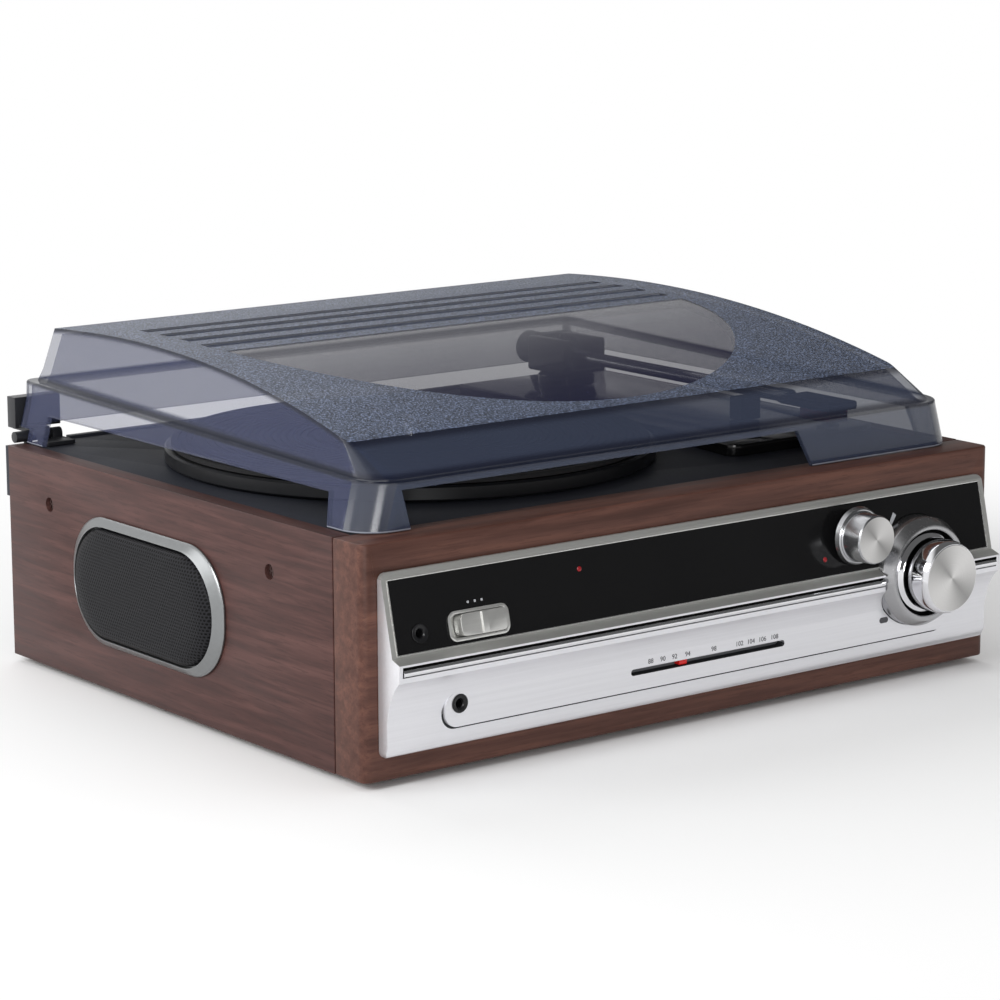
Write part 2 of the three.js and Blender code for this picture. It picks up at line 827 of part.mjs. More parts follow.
const transformerBottom = baseBoardThickness + seatGap;
const transformerFront = transformerY - transformerDepth / 2;
const transformerCore = block(
  [transformerX - transformerWidth / 2, transformerX + transformerWidth / 2],
  [transformerFront + coilOverhang, transformerFront + transformerDepth - coilOverhang],
  [transformerBottom, transformerBottom + transformerHeight],
);
const transformerCoil = block(
  [transformerX - coilWidth / 2, transformerX + coilWidth / 2],
  [transformerFront, transformerFront + transformerDepth],
  [transformerBottom + coilOverhang, transformerBottom + transformerHeight - coilOverhang],
);
add(cabinet, "transformer", joined(transformerCore, transformerCoil), steel());

// Turntable
const turntable = new THREE.Group();
musicCentre.add(turntable);
const spindlePlace = [platterX, platterY];
const motorPlace = [motorX, motorY];
const speedSlotHalfLength = speedStemLength / 2 + seatGap;

function deckPlate() {
  const top = block(
    [-innerHalfWidth, innerHalfWidth],
    [frontBoardThickness + seatGap, deckBack],
    [deckBottom, deckTop],
  );
  const flange = block(
    [-sideFace + deckFlangeInset, sideFace - deckFlangeInset],
    [cabinetDepth + seatGap, deckBack],
    [deckTop - deckFlangeHeight, deckTop],
  );
  const bearingHole = rod(
    bearingTubeRadius + seatGap,
    "z",
    deckBottom - overrun,
    deckTop + overrun,
    spindlePlace,
  );
  const pulleyHole = rod(
    pulleyRadius + seatGap,
    "z",
    deckBottom - overrun,
    deckTop + overrun,
    motorPlace,
    smallSteps,
  );
  const lip = block(
    [deckLipMargin - sideFace, sideFace - deckLipMargin],
    [cabinetDepth + seatGap, deckBack],
    [deckTop - deckThickness, deckTop + deckLipRise],
  );
  return cut(joined(top, flange, lip), bearingHole, pulleyHole);
}
add(turntable, "deck_plate", deckPlate(), deckPlastic());

const bearingProfile = [
  [spindleRadius + seatGap, deckBottom - bearingDepth],
  [bearingTubeRadius, deckBottom - bearingDepth],
  [bearingTubeRadius, deckTop + seatGap],
  [bearingFlangeRadius, deckTop + seatGap],
  [bearingFlangeRadius, bearingTop],
  [spindleRadius + seatGap, bearingTop],
  [spindleRadius + seatGap, deckBottom - bearingDepth],
];
add(turntable, "spindle_bearing", turned(bearingProfile, "z", spindlePlace), brass());

const spindleTip = [
  [0, deckBottom - bearingDepth],
  [spindleRadius, deckBottom - bearingDepth],
  [spindleRadius, matTop + spindleRise - spindleRadius],
  [spindleRadius / 2, matTop + spindleRise],
  [0, matTop + spindleRise],
];
add(turntable, "spindle", turned(spindleTip, "z", spindlePlace, smallSteps), chrome());

const spindleBore = spindleRadius + 2 * seatGap;
const platterProfile = [
  [spindleBore, hubBottom],
  [hubRadius, hubBottom],
  [hubRadius, webBottom],
  [beltRingRadius - beltRingWall, webBottom],
  [beltRingRadius - beltRingWall, platterBottom],
  [beltRingRadius, platterBottom],
  [beltRingRadius, webBottom],
  [platterRadius - platterRimWall, webBottom],
  [platterRadius - platterRimWall, platterBottom],
  [platterRadius, platterBottom],
  [platterRadius, platterTop],
  [spindleBore, platterTop],
  [spindleBore, hubBottom],
];
const platter = turned(platterProfile, "z", spindlePlace, fineSteps);
add(turntable, "platter", platter, glossBlack());

function matProfile() {
  const bottom = platterTop + seatGap;
  const points = [[spindleBore, bottom], [platterRadius - matInset, bottom]];
  points.push([platterRadius - matInset, matTop]);
  for (const share of [...matRingShares].reverse()) {
    const radius = platterRadius * share;
    points.push([radius + matRingWidth, matTop], [radius + matRingWidth, matTop - matRingDepth]);
    points.push([radius, matTop - matRingDepth], [radius, matTop]);
  }
  points.push([spindleBore, matTop], [spindleBore, bottom]);
  return points;
}
add(turntable, "platter_mat", turned(matProfile(), "z", spindlePlace, fineSteps), rubber());

const motorTop = deckBottom - seatGap;
const motorProfile = [
  [0, motorTop - motorHeight],
  [motorRadius, motorTop - motorHeight],
  [motorRadius, motorTop],
  [motorShaftRadius + seatGap, motorTop],
  [motorShaftRadius + seatGap, motorTop - motorShaftDepth],
  [0, motorTop - motorShaftDepth],
];
add(turntable, "motor", turned(motorProfile, "z", motorPlace), steel());

const pulleyBottom = platterBottom;
const pulleyProfile = [
  [0, motorTop - motorShaftDepth + seatGap],
  [motorShaftRadius, motorTop - motorShaftDepth + seatGap],
  [motorShaftRadius, pulleyBottom],
  [pulleyRadius, pulleyBottom],
  [pulleyRadius, pulleyBottom + pulleyHeight],
  [0, pulleyBottom + pulleyHeight],
];
add(turntable, "motor_pulley", turned(pulleyProfile, "z", motorPlace, smallSteps), brass());

// The belt's loop: an arc round the belt ring, an arc round the pulley, and the two
// straight runs that touch both.
function beltOutline(extra) {
  const large = beltRingRadius + seatGap + extra;
  const small = pulleyRadius + seatGap + extra;
  const spread = Math.acos((large - small) / motorDistance);
  const points = [];
  const arc = (centre, radius, from, to, steps) => {
    for (let i = 0; i <= steps; i++) {
      const angle = from + (to - from) * (i / steps);
      points.push([centre[0] + radius * Math.cos(angle), centre[1] + radius * Math.sin(angle)]);
    }
  };
  const [start, end] = [motorAngle + spread, motorAngle - spread];
  arc(spindlePlace, large / Math.cos(Math.PI / fineSteps), start, end + 2 * Math.PI, fineSteps);
  arc(motorPlace, small / Math.cos(Math.PI / smallSteps), end, start, smallSteps);
  return points;
}
const beltBottom = pulleyBottom + (pulleyHeight - beltHeight) / 2;
const belt = prism(beltOutline(beltThickness), "z", beltBottom, beltBottom + beltHeight);
const beltHollow = prism(beltOutline(0), "z", beltBottom - overrun, beltBottom + beltHeight + overrun);
add(turntable, "drive_belt", belt.subtract(beltHollow), rubber());

// Tonearm
function tonearmPlinth() {
  const outline = roundedOutline(
    [plinthLeft, plinthRight],
    [plinthFront, plinthBack],
    plinthCornerRadius,
    cornerSteps,
  );
  const body = prism(outline, "z", plinthBottom, plinthTop);
  const shave = prism(
    [
      [plinthLeft - overrun, plinthFront],
      [plinthLeft, plinthFront],
      [plinthShoulder, plinthShoulderY],
      [plinthShoulder, plinthBack + overrun],
      [plinthLeft - overrun, plinthBack + overrun],
    ],
    "z",
    plinthBottom - overrun,
    plinthTop + overrun,
  );
  const slot = block(
    [speedX - speedStemWidth / 2 - seatGap, speedX + speedStemWidth / 2 + seatGap],
    [speedY - speedSlotHalfLength, speedY + speedTravel + speedSlotHalfLength],
    [plinthBottom - overrun, plinthTop + overrun],
  );
  return cut(body, shave, slot);
}
add(turntable, "tonearm_plinth", tonearmPlinth(), glossBlack());

const armPlace = [armPivotX, armPivotY];
const armBaseTop = plinthTop + seatGap + armBaseHeight;
const armBase = rod(armBaseRadius, "z", plinthTop + seatGap, armBaseTop, armPlace);
add(turntable, "tonearm_base", armBase, glossBlack());

const yokeBottom = armBaseTop + seatGap;
const yokeBody = block(
  [armPivotX - yokeWidth / 2, armPivotX + yokeWidth / 2],
  [armPivotY - yokeDepth / 2, armPivotY + yokeDepth / 2],
  [yokeBottom, yokeBottom + yokeHeight],
);
const yokeOpening = block(
  [armPivotX - yokeSlot / 2, armPivotX + yokeSlot / 2],
  [armPivotY - yokeDepth / 2 - overrun, armPivotY + yokeDepth / 2 + overrun],
  [yokeBottom + yokeFloor, yokeBottom + yokeHeight + overrun],
);
add(turntable, "tonearm_yoke", yokeBody.subtract(yokeOpening), glossBlack());

const armTubePlace = [armPivotX, armZ];
const armTube = rod(
  armTubeRadius,
  "y",
  shellBack + seatGap,
  armPivotY + armRearReach,
  armTubePlace,
  smallSteps,
);
const armPin = rod(
  armPinRadius,
  "x",
  armPivotX - yokeSlot / 2 + seatGap,
  armPivotX + yokeSlot / 2 - seatGap,
  [armPivotY, armZ],
  smallSteps,
);
add(turntable, "tonearm_tube", joined(armTube, armPin), spunMetal());

const weight = ring(
  armTubeRadius + seatGap,
  counterweightRadius,
  "y",
  armPivotY + yokeDepth / 2 + seatGap,
  armPivotY + yokeDepth / 2 + seatGap + counterweightLength,
  armTubePlace,
  smallSteps,
);
add(turntable, "counterweight", weight, blackPlastic());

const shell = block(
  [armPivotX - headshellWidth / 2, armPivotX + headshellWidth / 2],
  [shellBack - headshellLength, shellBack],
  [armZ - headshellThickness / 2, armZ + headshellThickness / 2],
);
add(turntable, "headshell", shell, blackPlastic());

const cartridgeTop = armZ - headshellThickness / 2 - seatGap;
const cartridgeBody = block(
  [armPivotX - cartridgeWidth / 2, armPivotX + cartridgeWidth / 2],
  [stylusY - cartridgeLength / 4, stylusY + (3 * cartridgeLength) / 4],
  [stylusTip + stylusRadius, cartridgeTop],
);
const stylusProfile = [
  [0, stylusTip],
  [stylusRadius, stylusTip + stylusRadius],
  [stylusRadius, cartridgeTop],
  [0, cartridgeTop],
];
const stylus = turned(stylusProfile, "z", [armPivotX, stylusY], smallSteps / 2);
add(turntable, "cartridge", joined(cartridgeBody, stylus), material(0x9b2020, 0.4));

function tonearmRest() {
  const shelf = armZ - armTubeRadius - seatGap;
  const edge = armPivotX + armTubeRadius + seatGap;
  const post = block(
    [armPivotX - restWidth / 2, edge + restProng],
    [restY - restDepth / 2, restY + restDepth / 2],
    [plinthTop + seatGap, shelf],
  );
  const prong = block(
    [edge, edge + restProng],
    [restY - restDepth / 2, restY + restDepth / 2],
    [plinthTop + seatGap, shelf + restProngRise],
  );
  return joined(post, prong);
}
add(turntable, "tonearm_rest", tonearmRest(), blackPlastic());

const speedStem = block(
  [speedX - speedStemWidth / 2, speedX + speedStemWidth / 2],
  [speedY - speedStemLength / 2, speedY + speedStemLength / 2],
  [plinthBottom, plinthTop + seatGap + speedCapHeight / 2],
);
const speedCap = block(
  [speedX - speedCapWidth / 2, speedX + speedCapWidth / 2],
  [speedY - speedCapLength / 2, speedY + speedCapLength / 2],
  [plinthTop + seatGap, plinthTop + seatGap + speedCapHeight],
);
add(turntable, "speed_selector", joined(speedStem, speedCap), silver());

// Fascia
const fascia = new THREE.Group();
musicCentre.add(fascia);
const volumePlace = [volumeX, volumeZ];
const tuningPlace = [tuningX, tuningZ];

// The moulding's side outline, from its top at the board round the front to its foot.
function fasciaOutline() {
  const cove = new THREE.CubicBezierCurve(
    new THREE.Vector2(-lipFootReach, lipFootHeight),
    new THREE.Vector2(-coveUpperReach, coveUpperHeight),
    new THREE.Vector2(-coveLowerReach, coveLowerHeight),
    new THREE.Vector2(-faceReach, faceTopHeight),
  );
  return [
    [-seatGap, fasciaTop],
    [-topLipReach, fasciaTop],
    [-panelTopReach, panelTopHeight],
    [-panelBottomReach, panelBottomHeight],
    [-lipReach, lipHeight],
    ...cove.getPoints(coveSteps).map(({ x, y }) => [x, y]),
    [-faceReach, faceBottomHeight],
    [-footLipReach, footLipHeight],
    [-topLipReach, fasciaBottom],
    [-seatGap, fasciaBottom],
  ];
}

// A slab along the slope of the panel, from its face down to a depth.
function panelSlab(halfWidth, topMargin, bottomMargin, depth, proud = 0) {
  const up = [Math.sin(panelTilt), Math.cos(panelTilt)];
  const out = [-Math.cos(panelTilt), Math.sin(panelTilt)];
  const point = (along, reach) => [
    -panelBottomReach + up[0] * along + out[0] * reach,
    panelBottomHeight + up[1] * along + out[1] * reach,
  ];
  const top = slopeLength - topMargin;
  const outline = [
    point(bottomMargin, proud),
    point(bottomMargin, -depth),
    point(top, -depth),
    point(top, proud),
  ];
  return prism(outline, "x", -halfWidth, halfWidth);
}

function fasciaBezel() {
  const front = prism(
    roundedOutline([-fasciaHalfWidth, fasciaHalfWidth], [fasciaBottom, fasciaTop], fasciaCornerRadius),
    "y",
    -lipReach - overrun,
    overrun,
  );
  const outer = prism(fasciaOutline(), "x", -fasciaHalfWidth, fasciaHalfWidth).intersect(front);
  const hollowOutline = fasciaOutline().map(([y, z]) => [y + fasciaWall, z]);
  hollowOutline[0][0] = overrun;
  hollowOutline[hollowOutline.length - 1][0] = overrun;
  const innerHalf = fasciaHalfWidth - fasciaWall;
  const hollow = prism(hollowOutline, "x", -innerHalf, innerHalf).intersect(
    block(
      [-innerHalf, innerHalf],
      [-lipReach, overrun],
      [fasciaBottom + fasciaWall, fasciaTop - fasciaWall],
    ),
  );
  const pad = prism(
    roundedOutline([padLeft, padRight], [padBottom, padTop], padCornerRadius),
    "y",
    -faceReach - padRise,
    -faceReach + fasciaWall / 2,
  );
  const pocket = panelSlab(
    fasciaHalfWidth - panelInset,
    panelTopMargin,
    panelBottomMargin,
    pocketDepth,
    overrun,
  );
  const channel = block(
    [-fasciaHalfWidth + stripEndInset - seatGap, fasciaHalfWidth - stripEndInset + seatGap],
    [-lipReach - overrun, -lipReach + channelDepth],
    [channelBottom, channelTop],
  );
  const collarHole = rod(collarRadius + seatGap, "y", -lipReach - overrun, overrun, volumePlace, fineSteps);
  const tuningHole = rod(shaftRadius + seatGap, "y", -lipReach - overrun, overrun, tuningPlace, smallSteps);
  const dialSlot = block(
    [-dialHalfLength, dialHalfLength],
    [-faceReach - padRise - overrun, -wallBackReach + overrun],
    [dialZ - dialSlotHeight / 2, dialZ + dialSlotHeight / 2],
  );
  const headphoneHole = rod(
    socketBarrelRadius + seatGap,
    "y",
    -lipReach,
    overrun,
    [headphoneX, headphoneZ],
    smallSteps,
  );
  const headphoneSpot = rod(
    socketRadius + seatGap,
    "y",
    -lipReach,
    -faceReach - padRise,
    [headphoneX, headphoneZ],
    smallSteps,
  );
  const selectorHole = slopeHole(selectorWidth, selectorHeight, selectorX, selectorAlong);
  const auxHole = slopeRod(socketBarrelRadius + seatGap, auxX, auxAlong);
  const lampHoles = [
    slopeRod(lampRadius + seatGap, powerLampX, powerLampAlong),
    slopeRod(lampRadius + seatGap, stereoLampX, stereoLampAlong),
  ];
  return cut(
    joined(outer, pad),
    hollow,
    pocket,
    channel,
    collarHole,
    tuningHole,
    dialSlot,
    headphoneHole,
    headphoneSpot,
    selectorHole,
    auxHole,
    ...lampHoles,
  );
}

// Places a solid made flat round the panel's lower edge on the panel's slope.
function onSlope(solid) {
  const geometry = geometryOf(solid);
  geometry.rotateX(-panelTilt);
  geometry.translate(0, -panelBottomReach, panelBottomHeight);
  return solidOf(geometry);
}

function slopeRod(radius, x, along) {
  return onSlope(rod(radius, "y", -overrun, fasciaWall + overrun, [x, along], smallSteps));
}

function slopeHole(width, height, x, along) {
  const outline = roundedOutline(
    [x - width / 2 + selectorFrame - seatGap, x + width / 2 - selectorFrame + seatGap],
    [along - height / 2 + selectorFrame - seatGap, along + height / 2 - selectorFrame + seatGap],
    selectorCornerRadius,
  );
  return onSlope(prism(outline, "y", -overrun, fasciaWall + overrun));
}
add(fascia, "fascia_bezel", fasciaBezel(), silver());

function panelPlate() {
  const slab = panelSlab(
    fasciaHalfWidth - panelInset - seatGap,
    panelTopMargin + seatGap,
    panelBottomMargin + seatGap,
    panelThickness,
  );
  return cut(
    slab,
    rod(collarRadius + seatGap, "y", -lipReach - overrun, overrun, volumePlace, fineSteps),
    rod(shaftRadius + seatGap, "y", -lipReach - overrun, overrun, tuningPlace, smallSteps),
    slopeHole(selectorWidth, selectorHeight, selectorX, selectorAlong),
    slopeRod(socketBarrelRadius + seatGap, auxX, auxAlong),
    slopeRod(lampRadius + seatGap, powerLampX, powerLampAlong),
    slopeRod(lampRadius + seatGap, stereoLampX, stereoLampAlong),
  );
}
add(fascia, "panel_plate", panelPlate(), glossBlack());

// The strip ends where the volume collar crosses it.
function chromeStrip([from, to]) {
  const back = -lipReach + channelDepth - seatGap;
  const front = back - stripThickness;
  const middle = (stripBottom + stripTop) / 2;
  const quarter = (stripTop - stripBottom) / 4;
  const outline = [
    [back, stripBottom],
    [back, stripTop],
    [front + quarter, stripTop],
    [front, middle + quarter],
    [front, middle - quarter],
    [front + quarter, stripBottom],
  ];
  return prism(outline, "x", from, to);
}
const stripEnd = fasciaHalfWidth - stripEndInset;
const collarEdge = collarRadius + 2 * seatGap;
add(fascia, "chrome_strip_left", chromeStrip([-stripEnd, volumeX - collarEdge]), chrome());
add(fascia, "chrome_strip_right", chromeStrip([volumeX + collarEdge, stripEnd]), chrome());

const collarProfile = [
  [shaftRadius + seatGap, -collarBackReach],
  [collarRadius, -collarBackReach],
  [collarRadius, -collarShoulderReach],
  [collarFrontRadius, -collarFrontReach],
  [collarWellRadius, -collarFrontReach],
  [collarWellRadius, -collarFloorReach],
  [shaftRadius + seatGap, -collarFloorReach],
  [shaftRadius + seatGap, -collarBackReach],
];
add(fascia, "volume_collar", turned(collarProfile, "y", volumePlace, fineSteps), silver());

// A knob with a blind bore in its back for the shaft.
function knobProfile(skirt, body, backReach, knobReach) {
  const boreEnd = -backReach - shaftKnobDepth;
  return [
    [0, boreEnd],
    [shaftRadius + seatGap, boreEnd],
    [shaftRadius + seatGap, -backReach],
    ...skirt,
    ...body,
    [0, -knobReach],
  ];
}
const volumeFlangeFront = -volumeFlangeBackReach - volumeFlangeThickness;
const volumeProfile = knobProfile(
  [[volumeFlangeRadius, -volumeFlangeBackReach], [volumeFlangeRadius, volumeFlangeFront]],
  [
    [volumeKnobRadius, volumeFlangeFront],
    [volumeKnobRadius, -volumeKnobReach + volumeChamfer],
    [volumeFaceRadius, -volumeKnobReach],
  ],
  volumeFlangeBackReach,
  volumeKnobReach,
);
add(fascia, "volume_knob", turned(volumeProfile, "y", volumePlace, fineSteps / 2), spunMetal());

const tuningSkirtFront = -tuningSkirtBackReach - tuningSkirtThickness;
const tuningProfile = knobProfile(
  [[tuningSkirtRadius, -tuningSkirtBackReach], [tuningSkirtFrontRadius, tuningSkirtFront]],
  [
    [tuningKnobRadius, tuningSkirtFront],
    [tuningFaceRadius + tuningChamfer / 2, -tuningKnobReach + tuningChamfer],
    [tuningFaceRadius, -tuningKnobReach],
  ],
  tuningSkirtBackReach,
  tuningKnobReach,
);
add(fascia, "tuning_knob", turned(tuningProfile, "y", tuningPlace), spunMetal());

// Each control sits between the fascia and the main board and holds the end of its shaft.
const controlBack = boardDepth - seatGap;
const controlFront = -collarBackReach + seatGap;
function shaft(place, backReach) {
  const tip = -backReach - shaftKnobDepth + seatGap;
  return rod(shaftRadius, "y", tip, controlFront + shaftBodyDepth - seatGap, place, smallSteps);
}
function shaftBore(place) {
  return rod(
    shaftRadius + seatGap,
    "y",
    controlFront - overrun,
    controlFront + shaftBodyDepth,
    place,
    smallSteps,
  );
}
add(fascia, "volume_shaft", shaft(volumePlace, volumeFlangeBackReach), steel());
add(fascia, "tuning_shaft", shaft(tuningPlace, tuningSkirtBackReach), steel());
const volumePot = rod(volumePotRadius, "y", controlFront, controlBack, volumePlace);
add(fascia, "volume_pot", volumePot.subtract(shaftBore(volumePlace)), steel());

const tuner = block(
  [tuningX - tunerSide / 2, tuningX + tunerSide / 2],
  [controlFront + fasciaWall, controlBack],
  [tuningZ - tunerSide / 2, tuningZ + tunerSide / 2],
);
add(fascia, "tuning_capacitor", tuner.subtract(shaftBore(tuningPlace)), material(0xd8d4c4, 0.5));

const backingFront = -wallBackReach + seatGap;
const backing = block(
  [-dialHalfLength - backingMargin, dialHalfLength + backingMargin],
  [backingFront, backingFront + backingThickness],
  [dialZ - backingHeight / 2, dialZ + backingHeight / 2],
);
add(fascia, "dial_backing", backing, material(0x55585c, 0.6));

const pointer = block(
  [pointerX - pointerLength / 2, pointerX + pointerLength / 2],
  [-faceReach - padRise, backingFront - seatGap],
  [dialZ - dialSlotHeight / 2 + seatGap, dialZ + dialSlotHeight / 2 - seatGap],
);
add(fascia, "dial_pointer", pointer, redPlastic());

// A socket with a lip, round an axis that runs into the fascia from its face.
function socket(face, place, back) {
  const profile = [
    [socketBore, face - socketRise],
    [socketRadius, face - socketRise],
    [socketRadius, face - socketRise + socketLip / 2],
    [socketBarrelRadius, face - seatGap],
    [socketBarrelRadius, back],
    [0, back],
    [0, back - socketLip],
    [socketBore, back - socketLip],
    [socketBore, face - socketRise],
  ];
  return turned(profile, "y", place, smallSteps);
}
const headphoneSocket = socket(-faceReach - padRise, [headphoneX, headphoneZ], controlBack);
add(fascia, "headphone_socket", headphoneSocket, blackPlastic());

// Pieces on the slope of the panel, made flat round its lower edge
const slope = new THREE.Group();
slope.position.set(0, -panelBottomReach, panelBottomHeight);
slope.rotation.x = -panelTilt;
fascia.add(slope);

add(slope, "aux_socket", socket(0, [auxX, auxAlong], socketLength), blackPlastic());
const lamps = [
  ["power_lamp", powerLampX, powerLampAlong],
  ["stereo_lamp", stereoLampX, stereoLampAlong],
];
for (const [name, x, along] of lamps) {
  const lamp = rod(lampRadius, "y", -lampRise, lampLength - lampRise, [x, along], smallSteps / 2);
  add(slope, name, lamp, redPlastic());
}

const selectorAcross = [selectorX - selectorWidth / 2, selectorX + selectorWidth / 2];
const selectorUp = [selectorAlong - selectorHeight / 2, selectorAlong + selectorHeight / 2];
const shrink = ([from, to], by) => [from + by, to - by];

function selectorPlate() {
  const frame = prism(
    roundedOutline(selectorAcross, selectorUp, selectorCornerRadius),
    "y",
    -selectorFrameRise,
    -seatGap,
  );
  const tub = prism(
    roundedOutline(
      shrink(selectorAcross, selectorFrame),
      shrink(selectorUp, selectorFrame),
      selectorCornerRadius,
    ),
    "y",
    -selectorFrameRise,
    selectorDepth,
  );
  const well = prism(
    roundedOutline(
      shrink(selectorAcross, selectorFrame + seatGap),
      shrink(selectorUp, selectorFrame + seatGap),
      selectorCornerRadius - selectorFrame,
    ),
    "y",
    -selectorFrameRise - overrun,
    selectorDepth - selectorFloor,
  );
  return cut(joined(frame, tub), well);
}
add(slope, "selector_plate", selectorPlate(), silver());

function selectorSlider() {
  const across = shrink(selectorAcross, selectorFrame + 2 * seatGap);
  across[0] += selectorTravel;
  const up = shrink(selectorUp, selectorFrame + 2 * seatGap);
  const body = prism(
    roundedOutline(across, up, sliderCornerRadius - seatGap),
    "y",
    -sliderRise,
    selectorDepth - selectorFloor - seatGap,
  );
  const middle = (across[0] + across[1]) / 2;
  const ridge = block(
    [middle - sliderRidgeWidth / 2, middle + sliderRidgeWidth / 2],
    [-sliderRise - sliderRidgeRise, 0],
    shrink(up, seatGap),
  );
  return joined(body, ridge);
}
add(slope, "selector_slider", selectorSlider(), silver());

const mainBoard = block(
  [boardSideMargin - openingHalfWidth, openingHalfWidth - boardSideMargin],
  [boardDepth, boardDepth + boardThickness],
  [openingBottom + boardMargin, openingTop - boardMargin],
);
add(fascia, "main_board", mainBoard, board());

// Speakers
const speakers = new THREE.Group();
musicCentre.add(speakers);
const openLength = bezelHalfLength - bezelBandLength;
const openHeight = bezelHalfHeight - bezelBandHeight;

for (const [word, side] of sides) {
  const at = (reach) => side * (sideFace + reach);
  const stack = (levels) => loft(side < 0 ? levels.reverse() : levels);

  const outerBezel = ovalOutline(bezelHalfLength, bezelHalfHeight, bezelCornerRadius);
  const rim = ovalOutline(openLength + seatGap, openHeight + seatGap);
  const bezel = stack([
    { outline: outerBezel, at: at(seatGap) },
    { outline: outerBezel, at: at(seatGap + bezelEdge) },
    { outline: rim, at: at(bezelRise) },
  ]);
  const [from, to] = outward(side, sideFace, sideFace + bezelRise + overrun);
  const opening = prism(ovalOutline(openLength, openHeight), "x", from, to);
  add(speakers, word + "_speaker_bezel", bezel.subtract(opening), silver());

  const grilleShell = (inset, back) => {
    const length = openLength - grilleClearance - inset;
    const height = openHeight - grilleClearance - inset;
    const level = (share, reach) => ({
      outline: ovalOutline(length * share, height * share),
      at: at(reach),
    });
    const rise = grilleRise - inset;
    const edge = grilleEdgeRise;
    return stack([
      level(1, back),
      level(1, edge),
      level(grilleShoulderShare, edge + (rise - edge) * grilleShoulderRiseShare),
      level(grilleCrownShare, rise),
    ]);
  };
  const grille = grilleShell(0, seatGap).subtract(grilleShell(grilleWall, -overrun));
  add(speakers, word + "_speaker_grille", grille, blackPlastic());

  const inside = -sideBoardThickness - seatGap;
  const flangeLength = holeLength + driverFlangeMargin;
  const flangeHeight = holeHeight + driverFlangeMargin;
  const flange = stack([
    { outline: ovalOutline(flangeLength, flangeHeight), at: at(inside - driverFlangeThickness) },
    { outline: ovalOutline(flangeLength, flangeHeight), at: at(inside) },
  ]);
  const basket = stack([
    { outline: ovalOutline(magnetRadius, magnetRadius), at: at(inside - driverDepth) },
    { outline: ovalOutline(holeLength, holeHeight), at: at(inside - driverFlangeThickness / 2) },
  ]);
  const cone = stack([
    { outline: ovalOutline(coneEndRadius, coneEndRadius), at: at(inside - driverDepth + 2 * coneWall) },
    { outline: ovalOutline(holeLength - coneWall, holeHeight - coneWall), at: at(inside + overrun) },
  ]);
  const magnet = rod(
    magnetRadius,
    "x",
    ...outward(
      side,
      sideFace + inside - driverDepth - magnetDepth,
      sideFace + inside - driverDepth + coneWall,
    ),
    [speakerY, speakerZ],
  );
  const driver = joined(flange, basket, magnet).subtract(cone);
  add(speakers, word + "_speaker_driver", driver, blackPlastic());
}

// Dust cover
const cover = new THREE.Group();
musicCentre.add(cover);

// The cover's top line from the crease at the front to its back corner.
function crownLine(drop) {
  const curve = new THREE.CubicBezierCurve(
    new THREE.Vector2(creaseY, creaseHeight - drop),
    new THREE.Vector2(riseHandleY, riseHandleHeight - drop),
    new THREE.Vector2(fallHandleY, fallHandleHeight - drop),
    new THREE.Vector2(crownTopY - drop, crownTopHeight - drop),
  );
  return curve.getPoints(crownSteps).map(({ x, y }) => [x, y]);
}

// The skirt seen from above at a height: its sides flare out below the ledge.
function skirtPlan(inset, height) {
  const share = Math.max(0, (ledgeFrontHeight - height) / (ledgeFrontHeight - coverFootBottom));
  const half = coverHalfWidth + skirtFlare * share - inset;
  const frontCorner = coverFrontCorner + (coverFootCorner - coverFrontCorner) * share - inset;
  const backCorner = coverBackCorner - inset;
  const plan = [];
  const corners = [
    [half - frontCorner, coverFront + inset + frontCorner, frontCorner, -Math.PI / 2],
    [half - backCorner, coverBack - inset - backCorner, backCorner, 0],
    [-half + backCorner, coverBack - inset - backCorner, backCorner, Math.PI / 2],
    [-half + frontCorner, coverFront + inset + frontCorner, frontCorner, Math.PI],
  ];
  for (const [x, y, radius, start] of corners) {
    for (let i = 0; i <= cornerSteps; i++) {
      const angle = start + (Math.PI / 2) * (i / cornerSteps);
      plan.push([x + radius * Math.cos(angle), y + radius * Math.sin(angle)]);
    }
  }
  return plan;
}

// The cover's outer form, or its hollow where inset is the wall.
function coverForm(inset, bottom) {
  const half = coverHalfWidth - inset;
  const heights = [bottom, ledgeFrontHeight, ledgeBackHeight + overrun];
  const levels = heights.map((at) => ({ outline: skirtPlan(inset, at), at }));
  const skirt = loft(levels, "z").intersect(
    prism(
      [
        [coverFront - overrun, bottom - overrun],
        [coverBack + overrun, bottom - overrun],
        [coverBack + overrun, ledgeBackHeight - inset],
        [coverFront - overrun, ledgeFrontHeight - inset],
      ],
      "x",
      -flareReach,
      flareReach,
    ),
  );
  const crownFoot = Math.min(skirtSideHeight, skirtFrontHeight);
  const crownFrontY = coverFront + crownFrontInset + inset;
  const side = prism(
    [
      [crownFrontY - overrun, crownFoot],
      [crownBack - inset, crownFoot],
      [crownBack - inset, ledgeBackHeight - inset],
      ...crownLine(inset).reverse(),
      [crownFrontY - overrun, creaseHeight - inset],
    ],
    "x",
    -half,
    half,
  );
  const footHalf = coverHalfWidth - crownSideInset - inset;
  const creaseHalf = coverHalfWidth - creaseSideInset - inset;
  const topHalf = crownTopHalf - inset;
  const past = coverBack + crownCorner;
  const ledge = roundedOutline([-footHalf, footHalf], [crownFrontY, past], crownCorner - inset);
  const crease = roundedOutline([-creaseHalf, creaseHalf], [creaseY, past], creaseCorner);
  const top = roundedOutline([-topHalf, topHalf], [creaseY, past], creaseCorner);
  const crown = loft(
    [
      { outline: ledge, at: crownFoot },
      { outline: ledge, at: ledgeFrontHeight - inset },
      { outline: crease, at: creaseHeight - inset },
      { outline: top, at: crownTopHeight },
      { outline: top, at: fallHandleHeight + overrun },
    ],
    "z",
  );
  return skirt.add(side.intersect(crown));
}

